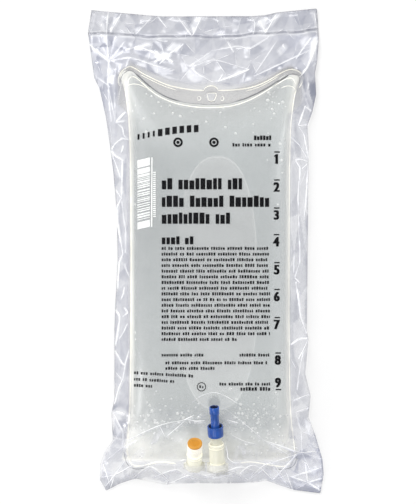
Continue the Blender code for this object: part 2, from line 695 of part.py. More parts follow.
def administration_port(parts, mats):
    """Port tube, the membrane tube inside it and the pull-off protector."""
    foot, axis = port_frame(ADMIN_TILT, ADMIN_LEAN, ADMIN_X, ADMIN_BEND)
    frame = axis_empty("administration_axis", foot, axis, parts)
    rim = ADMIN_RADIUS + RIM_STEP_OUT
    bore = MEMBRANE_RADIUS + CLEARANCE
    ring_foot = ADMIN_LENGTH - ADMIN_RIM
    turned("administration_port_tube",
           [(bore, ADMIN_LENGTH), (rim - 0.3, ADMIN_LENGTH), (rim, ADMIN_LENGTH - 0.4),
            (rim, ring_foot + 0.3), (ADMIN_RADIUS, ring_foot), (ADMIN_RADIUS, 0.0), (bore, 0.0)],
           frame, parts, mats["tube"])
    web_under = SKIRT_START + SKIRT_LENGTH - SKIRT_RECESS - SKIRT_WEB
    top = web_under - CLEARANCE
    disc = top - MEMBRANE_DEPTH
    turned("membrane_tube",
           [(0.0, disc), (MEMBRANE_BORE, disc), (MEMBRANE_BORE, top - 0.3), (MEMBRANE_BORE + 0.3, top),
            (MEMBRANE_RADIUS - 0.2, top), (MEMBRANE_RADIUS, top - 0.4), (MEMBRANE_RADIUS, MEMBRANE_FOOT),
            (MEMBRANE_BORE, MEMBRANE_FOOT), (MEMBRANE_BORE, disc - MEMBRANE_DISC),
            (0.0, disc - MEMBRANE_DISC)],
           frame, parts, mats["tube"], flip=True)
    skirt_in = MEMBRANE_RADIUS + CLEARANCE
    skirt_out = skirt_in + SKIRT_WALL + 0.3
    skirt_top = SKIRT_START + SKIRT_LENGTH
    groove = skirt_top - SKIRT_RECESS
    end = SKIRT_START + PROTECTOR_LENGTH
    head_foot = end - HEAD_LENGTH
    groove_wall = skirt_out - SKIRT_WALL
    turned("port_protector",
           [(PROTECTOR_BORE, end), (HEAD_RADIUS - 0.3, end), (HEAD_RADIUS, end - 0.3),
            (HEAD_RADIUS, head_foot + 0.3), (NECK_RADIUS, head_foot), (NECK_RADIUS, groove),
            (groove_wall, groove), (groove_wall, skirt_top), (skirt_out - 0.3, skirt_top),
            (skirt_out, skirt_top - 0.3), (skirt_out, SKIRT_START + 0.3),
            (skirt_out - 0.3, SKIRT_START), (skirt_in, SKIRT_START), (skirt_in, web_under),
            (PROTECTOR_BORE, web_under)],
           frame, parts, mats["protector"])
    return foot, axis


def medication_port(parts, mats):
    """Port tube, injection-site sleeve and resealing plug."""
    foot, axis = port_frame(MED_TILT, MED_LEAN, MED_X, MED_BEND)
    frame = axis_empty("medication_axis", foot, axis, parts)
    rim = MED_RADIUS + RIM_STEP_OUT
    bore = MED_RADIUS - MED_WALL
    turned("medication_port_tube",
           [(bore, MED_LENGTH), (rim - 0.3, MED_LENGTH), (rim, MED_LENGTH - 0.4),
            (rim, MED_LENGTH - MED_RIM), (MED_RADIUS, MED_LENGTH - MED_RIM - 0.4),
            (MED_RADIUS, 0.0), (bore, 0.0)],
           frame, parts, mats["tube"])
    spigot = bore - CLEARANCE
    flange = MED_LENGTH + SLEEVE_NECK
    top = flange + SLEEVE_LENGTH
    inner = spigot - SLEEVE_WALL
    groove = flange + SLEEVE_LENGTH * 0.55
    cup = top - PLUG_STEM
    turned("injection_site_sleeve",
           [(inner, cup), (inner + 0.01, top), (SLEEVE_RADIUS - 0.2, top), (SLEEVE_RADIUS, top - 0.2),
            (SLEEVE_RADIUS, groove + 0.5), (SLEEVE_RADIUS - SLEEVE_GROOVE, groove + 0.3),
            (SLEEVE_RADIUS - SLEEVE_GROOVE, groove - 0.3), (SLEEVE_RADIUS, groove - 0.5),
            (SLEEVE_RADIUS, flange + 0.3), (SLEEVE_RADIUS - 0.3, flange), (spigot, flange - 0.6),
            (spigot, MED_LENGTH - SLEEVE_SPIGOT), (inner - 1.0, MED_LENGTH - SLEEVE_SPIGOT),
            (inner - 1.0, cup)],
           frame, parts, mats["sleeve"])
    seat = top + CLEARANCE
    face = seat + PLUG_THICK
    stem = inner - CLEARANCE
    turned("resealing_plug",
           [(0.0, face), (PLUG_RING - 0.35, face), (PLUG_RING, face - PLUG_RELIEF),
            (PLUG_RING + 0.35, face), (PLUG_RADIUS - 0.5, face - 0.05), (PLUG_RADIUS, face - 0.5),
            (PLUG_RADIUS, seat + 0.2), (PLUG_RADIUS - 0.2, seat), (stem, seat),
            (stem, cup + CLEARANCE), (0.0, cup + CLEARANCE)],
           frame, parts, mats["plug"])


# The overwrap

class Film:
    """Two crumpled leaves of film on shared edges, built from triangles of straight-sided facets."""

    def __init__(self):
        self.chance = random.Random(SCATTER_SEED)

    def outline(self):
        """Edge points: left side down from the top seal, bottom, right side up to the seal."""
        reach = BAG_FLAT / 2.0

        def y_at(share):
            return PACK_BOTTOM + share * PACK_LENGTH

        seal = (SEAL_Y - PACK_BOTTOM) / PACK_LENGTH
        left = [(BAG_X - reach - m, y_at(t)) for t, m in LEFT_MARGIN]
        right = [(BAG_X + reach + m, y_at(t)) for t, m in RIGHT_MARGIN]
        foot = self.edge_between(left[0][0], right[0][0], PACK_BOTTOM, FOOT_RISE, 1.0)
        crown = self.edge_between(left[-1][0], right[-1][0], PACK_TOP, TOP_DIP, -1.0)
        seal_left = (BAG_X - reach - along(LEFT_MARGIN, seal), SEAL_Y)
        seal_right = (BAG_X + reach + along(RIGHT_MARGIN, seal), SEAL_Y)
        left_low = [p for p in left[1:] if p[1] < SEAL_Y - 4.0]
        right_low = [p for p in right[1:] if p[1] < SEAL_Y - 4.0]
        body = [seal_left] + left_low[::-1] + foot + right_low + [seal_right]
        return self.spaced(body), self.spaced([seal_right] + crown[::-1] + [seal_left])

    @staticmethod
    def edge_between(x0, x1, level, table, way):
        return [(x0 + (x1 - x0) * u, level + way * d) for u, d in table]

    @staticmethod
    def spaced(points):
        """The same line with long runs divided."""
        line = [points[0]]
        for a, b in zip(points, points[1:]):
            count = max(1, round(math.dist(a, b) / RIM_STEP))
            line += [(a[0] + (b[0] - a[0]) * k / count, a[1] + (b[1] - a[1]) * k / count)
                     for k in range(1, count + 1)]
        return line

    def rim_height(self, x, y):
        """Height of the folded edge."""
        share = (y - PACK_BOTTOM) / PACK_LENGTH
        ends = max(smooth((0.16 - share) / 0.14), smooth((share - 0.8) / 0.18))
        tail = smooth((0.12 - share) / 0.08) * smooth((TAIL_HALF * 1.9 - abs(x)) / (TAIL_HALF * 1.4))
        wave = 0.7 * math.sin(y * 0.11 + x * 0.05) + 0.4 * math.sin(y * 0.31 + 1.3)
        return RIM_HEIGHT - RIM_SAG * ends + wave * 0.6 + (TAIL_RIM - 1.4) * tail

    @staticmethod
    def inward(line, width_at):
        """Points set in from an edge line that runs with the film on its left."""
        inner = []
        for k in range(1, len(line) - 1):
            a, b, c = Vector(line[k - 1]), Vector(line[k]), Vector(line[k + 1])
            before, after = (b - a).normalized(), (c - b).normalized()
            way = (before + after).normalized()
            normal = Vector((-way.y, way.x))
            inner.append(tuple(b + normal * width_at(b)))
        return inner

    def scatter(self, border, step_at, chosen, keep_off):
        """Meeting points of the creases: the chosen ones, then seeded ones that keep their distance."""
        xs, ys = [p[0] for p in border], [p[1] for p in border]
        rim = [(Vector(a), Vector(b)) for a, b in zip(border, border[1:] + border[:1])]
        found = []

        def fits(x, y, room):
            if not inside(border, x, y):
                return False
            if any(math.dist((x, y), p[:2]) < room for p in found):
                return False
            return all(to_segment(x, y, a, b) > keep_off for a, b in rim)

        for x, y, lift in chosen:
            if fits(x, y, CHOSEN_STEP) or (lift is None and inside(border, x, y)):
                found.append((x, y, lift))
        for tries in range(SCATTER_TRIES):
            x = self.chance.uniform(min(xs), max(xs))
            y = self.chance.uniform(min(ys), max(ys))
            if fits(x, y, step_at(x, y)):
                found.append((x, y, None))
        return found

    @staticmethod
    def triangles(border, points):
        """Triangles over a closed border and the points inside it, numbered border first."""
        verts = [Vector(p[:2]) for p in border] + [Vector(p[:2]) for p in points]
        count = len(border)
        edges = [(k, (k + 1) % count) for k in range(count)]
        made = geometry.delaunay_2d_cdt(verts, edges, [], 1, 1e-6)
        first = [source[0] for source in made[3]]
        faces = []
        for face in made[2]:
            a, b, c = (first[k] for k in face)
            pa, pb, pc = verts[a], verts[b], verts[c]
            area = (pb.x - pa.x) * (pc.y - pa.y) - (pb.y - pa.y) * (pc.x - pa.x)
            if abs(area) > 1e-6:
                faces.append((a, b, c) if area > 0 else (a, c, b))
        return faces


def inside(border, x, y):
    """Whether a point lies in a closed outline."""
    hit = False
    for (ax, ay), (bx, by) in zip(border, border[1:] + border[:1]):
        if (ay > y) != (by > y) and x < (bx - ax) * (y - ay) / (by - ay) + ax:
            hit = not hit
    return hit


def to_segment(x, y, a, b):
    """Distance from a point to a straight piece."""
    p, run = Vector((x, y)) - a, b - a
    share = min(1.0, max(0.0, p.dot(run) / max(run.length_squared, 1e-12)))
    return (p - run * share).length


def is_loose(x, y):
    """1 where the film is loose and crumpled, 0 over the smooth middle of the bag."""
    share = (y - PACK_BOTTOM) / PACK_LENGTH
    ends = max(smooth((share - LOOSE_TOP + 0.03) / 0.06), smooth((LOOSE_FOOT + 0.03 - share) / 0.06))
    sides = smooth((abs(x - BAG_X) - SMOOTH_HALF * BAG_FLAT) / LOOSE_BLEND)
    return max(ends, sides)


def samples(points, faces, step=1.9):
    """Test points spread over each triangle: triangle, corner weights and place."""
    owner, weight, place = [], [], []
    for index, face in enumerate(faces):
        corners = [np.array(points[k][:2]) for k in face]
        longest = max(np.linalg.norm(corners[k] - corners[k - 1]) for k in range(3))
        count = max(2, math.ceil(longest / step))
        for i in range(count + 1):
            for j in range(count + 1 - i):
                w = np.array([i, j, count - i - j]) / count
                owner.append(index)
                weight.append(w)
                place.append(sum(w[k] * corners[k] for k in range(3)))
    return np.array(owner), np.array(weight), np.array(place)


def surface_tree(points, triangles):
    return BVHTree.FromPolygons([Vector(p) for p in points], triangles)


def highest(trees, x, y):
    """Top of the solids under a place, or None."""
    best = None
    for tree in trees:
        hit = tree.ray_cast(Vector((x, y, 4.0 * BAG_THICK)), Vector((0, 0, -1)))[0]
        if hit is not None and (best is None or hit.z > best):
            best = hit.z
    return best


def highest_near(trees, x, y, reach=1.0):
    """Top of the solids at or close beside a place, or 0."""
    spots = [(x, y), (x - reach, y), (x + reach, y), (x, y - reach), (x, y + reach)]
    return max(highest(trees, *spot) or 0.0 for spot in spots)


def settle(heights, faces, fixed, floor_of, owner, weight, rounds, relax):
    """Lay a leaf over what is under it: each round evens it out, then lifts what would cut in."""
    tri = np.array(faces)
    free = ~fixed
    heights = heights.copy()
    near = [set() for k in heights]
    for a, b, c in faces:
        near[a] |= {b, c}
        near[b] |= {a, c}
        near[c] |= {a, b}
    starts = np.array([k for k, group in enumerate(near) for other in group])
    others = np.array([other for group in near for other in group])
    counts = np.maximum(1, np.bincount(starts, minlength=len(heights)))
    for step in range(rounds):
        if relax > 0:
            mean = np.bincount(starts, heights[others], len(heights)) / counts
            heights[free] += relax * (mean - heights)[free]
        for inner in range(3 if relax > 0 else 1):
            corner = heights[tri[owner]]
            short = floor_of - (corner * weight).sum(axis=1)
            bad = short > 0
            if not bad.any():
                break
            push = np.zeros(len(heights))
            share = weight[bad] / (weight[bad] ** 2).sum(axis=1)[:, None]
            for k in range(3):
                np.maximum.at(push, tri[owner[bad]][:, k], short[bad] * share[:, k])
            heights[free] += push[free]
    return heights


def overwrap(parts, mat, obstacles):
    """Pouch: header and top seal, two leaves over the bag, folded sides and bottom seal."""
    film = Film()
    body_line, crown_line = film.outline()
    chance = film.chance

    def fold_width(point):
        low = smooth((PACK_BOTTOM + FOOT_SEAL_REACH - point.y) / 4.0)
        return SIDE_FOLD + (END_SEAL - SIDE_FOLD) * low

    set_in = film.inward(body_line, fold_width)
    span = set_in[-1][0] - set_in[0][0]
    seal_count = round(span / RIM_STEP)
    seal_line = [(set_in[0][0] + span * k / seal_count, SEAL_Y) for k in range(1, seal_count)]
    seal_ends = [(body_line[0][0] + SIDE_FOLD, SEAL_Y), (body_line[-1][0] - SIDE_FOLD, SEAL_Y)]
    seal_row = [seal_ends[0]] + seal_line + [seal_ends[1]]

    room = seal_row[::-1][:-1] + [seal_row[0]] + set_in
    room = list(dict.fromkeys(room))
    crown = crown_line[:-1] + [body_line[0]] + seal_row
    crown = list(dict.fromkeys(crown))

    def step_at(x, y):
        return SMOOTH_STEP + (CRUMPLE_STEP - SMOOTH_STEP) * is_loose(x, y)

    middle = (ADMIN_X + MED_X) / 2.0
    edge = FOLD_Y - ADMIN_BEND - TAIL_THICK / 2.0
    chosen = [(middle + (TAIL_HALF + TENT_REACH) * (2.0 * k / (count - 1) - 1.0), edge + way, None)
              for way, count in TENT_ROWS for k in range(count)]
    chosen += [(BAG_X + x, BAG_TOP + y, lift) for x, y, lift in TOP_CREASES]
    chosen += [(BAG_X + x, FOLD_Y + y, lift) for x, y, lift in FOOT_CREASES]
    front_in = film.scatter(room, step_at, chosen, FRONT_KEEP_OFF)
    vent = [(BAG_X + VENT_RADIUS * math.cos(2 * math.pi * k / VENT_SIDES),
             CHAMBER_MIDDLE + VENT_RADIUS * math.sin(2 * math.pi * k / VENT_SIDES), 0.0)
            for k in range(VENT_SIDES)]
    back_in = vent + [p for p in film.scatter(room, lambda x, y: BACK_STEP, [], FRONT_KEEP_OFF)
                      if math.dist(p[:2], (BAG_X, CHAMBER_MIDDLE)) > VENT_ROOM]
    crown_in = film.scatter(crown, lambda x, y: CROWN_STEP, [], CROWN_KEEP_OFF)

    def crown_height(x, y):
        above = (y - SEAL_Y) / HEADER
        ridge = math.sin(x * 0.19) + 0.6 * math.sin(x * 0.43 + 1.0)
        return film.rim_height(x, y) + 0.5 + above * (HEADER_RISE + ridge * HEADER_WAVE)

    half = FILM + SEAL_GAP / 2.0
    rim_z = {p: max(half, crown_height(*p) if p[1] >= SEAL_Y else film.rim_height(*p))
             for p in body_line + crown + room}

    front_faces = film.triangles(room, front_in)
    back_faces = film.triangles(room, back_in)
    crown_faces = film.triangles(crown, crown_in)

    # Front leaf: lowest height of its inner face
    front_pts = room + [p[:2] for p in front_in]
    fixed = np.array([True] * len(room) + [False] * len(front_in))
    start = np.array([rim_z[p] + SEAL_GAP / 2.0 for p in room] + [FIRST_HEIGHT] * len(front_in))
    owner, weight, place = samples(front_pts, front_faces)
    under = np.array([highest_near(obstacles, x, y) for x, y in place]) + CLEARANCE + 0.1
    resting = under * (under > 2.0 * CLEARANCE)
    inner_z = settle(start, front_faces, fixed, resting, owner, weight, SETTLE_ROUNDS, SETTLE_SHARE)
    for index, point in enumerate(front_in):
        loose = is_loose(point[0], point[1])
        lift = SMOOTH_LIFT + (CRUMPLE_LIFT - SMOOTH_LIFT) * loose
        change = point[2] if point[2] is not None else chance.uniform(-0.6, 1.0) * lift
        inner_z[len(room) + index] += change
    # Back leaf: flat where the bag lies on it, rising to the folded edges
    back_pts = room + [p[:2] for p in back_in]
    rim_lines = [(Vector(a), Vector(b), rim_z[a]) for a, b in zip(room, room[1:] + room[:1])]
    back_z = [rim_z[p] - SEAL_GAP / 2.0 for p in room]
    for x, y, mark in back_in:
        gap, near = min((to_segment(x, y, a, b), z) for a, b, z in rim_lines)
        rise = max(0.0, 1.0 - gap / BACK_CURL) ** 1.6 * (near - half) * BACK_CURL_SHARE
        under_bag = (abs(x - BAG_X) < UNDER_BAG_HALF
                     and CHAMBER_BOTTOM + UNDER_BAG_END < y < CHAMBER_TOP - UNDER_BAG_END)
        ripple = 0.0 if under_bag or mark is not None else chance.uniform(0.0, BACK_RIPPLE)
        back_z.append(FILM + rise + ripple * (rise > 0.02))
    back_tree = surface_tree([(*p, z) for p, z in zip(back_pts, back_z)], back_faces)
    over_back = np.array([highest([back_tree], x, y) or 0.0 for x, y in place]) + SEAL_GAP * 0.75
    rim_rows = np.zeros(len(front_pts), dtype=bool)
    rim_rows[:len(room)] = True
    held = rim_rows[np.array(front_faces)[owner]].astype(float)
    on_rim = (weight * held).sum(axis=1) > 0.999
    floor_of = np.where(on_rim, -BAG_THICK, np.maximum(resting, over_back))
    inner_z = settle(inner_z, front_faces, fixed, floor_of, owner, weight, EASE_ROUNDS, EASE_SHARE)
    inner_z = settle(inner_z, front_faces, fixed, floor_of, owner, weight, LIFT_ROUNDS, 0.0)
    return film_mesh(parts, mat, body_line, seal_row, crown_line, room, crown, rim_z, front_pts,
                     inner_z, front_faces, back_pts, back_z, back_faces, crown_in, crown_faces,
                     crown_height)


def film_mesh(parts, mat, body_line, seal_row, crown_line, room, crown, rim_z, front_pts, inner_z,
              front_faces, back_pts, back_z, back_faces, crown_in, crown_faces, crown_height):
    """Stitch the leaves, the header and the folded rim into one closed body with its pin vent."""
    verts, faces, index = [], [], {}

    def vertex(key, x, y, z):
        if key not in index:
            index[key] = len(verts)
            verts.append((x, y, z))
        return index[key]

    half = FILM + SEAL_GAP / 2.0

    def shared(point, layer):
        offset = {"front": half, "back": -half, "front_in": SEAL_GAP / 2.0,
                  "back_in": -SEAL_GAP / 2.0}[layer]
        return vertex((layer, point), *point, rim_z[point] + offset)

    def leaf(layer, pts, heights, triangles, count, offset, flip, skip=()):
        for face in triangles:
            if face in skip:
                continue
            keys = []
            for k in face:
                if k < count:
                    keys.append(shared(pts[k], layer))
                else:
                    keys.append(vertex((layer, "in", k), *pts[k], heights[k] + offset))
            faces.append(tuple(reversed(keys)) if flip else tuple(keys))

    border = len(room)
    vent_corners = {border + k for k in range(VENT_SIDES)}
    vent_faces = {face for face in back_faces if set(face) <= vent_corners}
    leaf("front", front_pts, inner_z, front_faces, border, FILM, False)
    leaf("front_in", front_pts, inner_z, front_faces, border, 0.0, True)
    leaf("back", back_pts, back_z, back_faces, border, -FILM, True, vent_faces)
    leaf("back_in", back_pts, back_z, back_faces, border, 0.0, False, vent_faces)
    crown_pts = crown + [p[:2] for p in crown_in]
    top = [rim_z[p] + half for p in crown] + [crown_height(*p[:2]) for p in crown_in]
    for face in crown_faces:
        high, low = [], []
        for k in face:
            point = crown_pts[k]
            if k < len(crown):
                high.append(shared(point, "front"))
                low.append(shared(point, "back"))
            else:
                high.append(vertex(("crown", k, 1), *point, top[k] + half))
                low.append(vertex(("crown", k, 0), *point, top[k] - half))
        faces.append(tuple(high))
        faces.append(tuple(reversed(low)))

    # Pressed rim between the outer edge and the room inside
    outer = body_line[1:-1]
    inner = room[-len(outer):]
    outer = [body_line[0]] + outer + [body_line[-1]]
    inner = [seal_row[0]] + inner + [seal_row[-1]]
    for a, b, c, d in zip(outer, outer[1:], inner[1:], inner):
        faces.append(tuple(shared(p, "front") for p in (a, b, c, d)))
        faces.append(tuple(shared(p, "back") for p in (d, c, b, a)))
    edge = body_line + crown_line[1:-1]
    for a, b in zip(edge, edge[1:] + edge[:1]):
        faces.append((shared(a, "back"), shared(b, "back"), shared(b, "front"), shared(a, "front")))
    for a, b in zip(room, room[1:] + room[:1]):
        faces.append((shared(a, "front_in"), shared(b, "front_in"), shared(b, "back_in"),
                      shared(a, "back_in")))
    for k in range(VENT_SIDES):
        a, b = border + k, border + (k + 1) % VENT_SIDES
        faces.append((index[("back_in", "in", a)], index[("back_in", "in", b)],
                      index[("back", "in", b)], index[("back", "in", a)]))
    obj = add_mesh("overwrap", verts, faces, parts, mat)
    bm = bmesh.new()
    bm.from_mesh(obj.data)
    bmesh.ops.triangulate(bm, faces=bm.faces)
    bm.to_mesh(obj.data)
    bm.free()
    return obj


def solid_trees(parts, axis):
    """Surfaces that the film lies over, in millimetres, with the protector along its travel."""
    trees = []
    for obj in parts.objects:
        if obj.type != "MESH" or obj.name == "solution":
            continue
        points, triangles = world_mesh(obj)
        points = [p / MM for p in points]
        shifts = [0.0]
        if obj.name == "port_protector":
            shifts = [PROTECTOR_PULL * k / 4.0 for k in range(5)]
        for shift in shifts:
            trees.append(surface_tree([p + axis * shift for p in points], triangles))
    return trees


def main():
    parts, guides = fresh_scene()
    mats = {
        "film": material("overwrap_film", (0.82, 0.83, 0.88), 0.12, alpha=0.35),
        "bag": material("bag_film", (0.86, 0.88, 0.87), 0.2, alpha=0.4),
        "fluid": material("solution", (0.75, 0.79, 0.80), 0.05, alpha=0.5),
        "tube": material("port_tube", (0.93, 0.92, 0.84), 0.25, alpha=0.8),
        "protector": material("protector_blue", (0.02, 0.13, 0.52), 0.3),
        "sleeve": material("sleeve_white", (0.95, 0.93, 0.86), 0.3),
        "plug": material("plug_amber", (0.85, 0.42, 0.05), 0.45),
    }
    container(parts, guides, mats["bag"])
    solution(parts, mats["fluid"])
    foot, axis = administration_port(parts, mats)
    medication_port(parts, mats)
    overwrap(parts, mats["film"], solid_trees(parts, axis))


main()
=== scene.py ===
"""Builds the finished look of a litre bag of intravenous fluid, sealed in its clear overwrap."""

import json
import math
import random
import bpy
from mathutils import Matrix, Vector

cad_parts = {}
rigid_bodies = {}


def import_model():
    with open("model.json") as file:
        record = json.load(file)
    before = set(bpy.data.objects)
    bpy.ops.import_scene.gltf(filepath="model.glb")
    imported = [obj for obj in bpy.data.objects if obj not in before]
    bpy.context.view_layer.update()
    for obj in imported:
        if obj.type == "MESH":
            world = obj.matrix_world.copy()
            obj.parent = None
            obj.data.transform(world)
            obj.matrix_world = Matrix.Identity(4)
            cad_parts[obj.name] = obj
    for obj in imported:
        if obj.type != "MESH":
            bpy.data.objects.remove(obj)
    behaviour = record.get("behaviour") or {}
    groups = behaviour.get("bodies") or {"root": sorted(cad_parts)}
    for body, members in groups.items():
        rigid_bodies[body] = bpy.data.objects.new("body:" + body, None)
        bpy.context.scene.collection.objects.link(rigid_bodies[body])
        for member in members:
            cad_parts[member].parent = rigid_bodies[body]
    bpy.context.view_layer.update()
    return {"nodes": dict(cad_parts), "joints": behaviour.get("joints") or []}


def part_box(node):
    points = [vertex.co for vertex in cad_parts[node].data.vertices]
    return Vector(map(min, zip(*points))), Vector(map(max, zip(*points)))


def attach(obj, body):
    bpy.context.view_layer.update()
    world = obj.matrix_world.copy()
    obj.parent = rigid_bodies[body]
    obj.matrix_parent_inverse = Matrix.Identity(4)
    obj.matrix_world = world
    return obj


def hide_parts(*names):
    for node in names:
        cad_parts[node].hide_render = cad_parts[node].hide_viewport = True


bl_info = {
    "name": "Fluid Bag in Overwrap",
    "version": (1, 0, 0),
    "blender": (4, 5, 0),
    "location": "3D View > Sidebar > Fluid Bag",
    "description": "Builds a sealed bag of intravenous fluid around its packed solids",
    "category": "Object",
}

from contextlib import contextmanager

import bmesh
import bpy
import numpy as np
from bpy.props import FloatProperty, FloatVectorProperty, IntProperty, PointerProperty
from bpy.types import Operator, Panel, PropertyGroup
from mathutils import Vector
from mathutils.bvhtree import BVHTree
from mathutils.geometry import delaunay_2d_cdt

for spare in list(bpy.data.objects):
    bpy.data.objects.remove(spare)
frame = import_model()

MM = 0.001
PIXEL = 0.78 * MM              # one pixel of the view, on the bag
VIEW_MIDDLE = (205.8, 251.0)   # pixel that shows the frame's origin
VIEW_SIZE = (416, 504)
EYE_HEIGHT = 4.5
HALF_WIDTH = 0.09              # of the overwrap
LIFT = 0.04 * MM               # of a crease's bright line off the film
WHITE = (1, 1, 1, 1)
ABOVE, BELOW = 0.2, -0.05      # heights clear of the whole object
COLOUR = {"subtype": "COLOR", "min": 0, "max": 1}
SHARE = {"subtype": "FACTOR", "min": 0, "max": 1}


def spot(px, py):
    """Place on the ground plane of a point of the view."""
    return (px - VIEW_MIDDLE[0]) * PIXEL, (VIEW_MIDDLE[1] - py) * PIXEL


EYE = Vector((*spot(VIEW_SIZE[0] / 2, VIEW_SIZE[1] / 2), EYE_HEIGHT))
PULL = next(joint for joint in frame["joints"] if joint["name"] == "protector_pull")


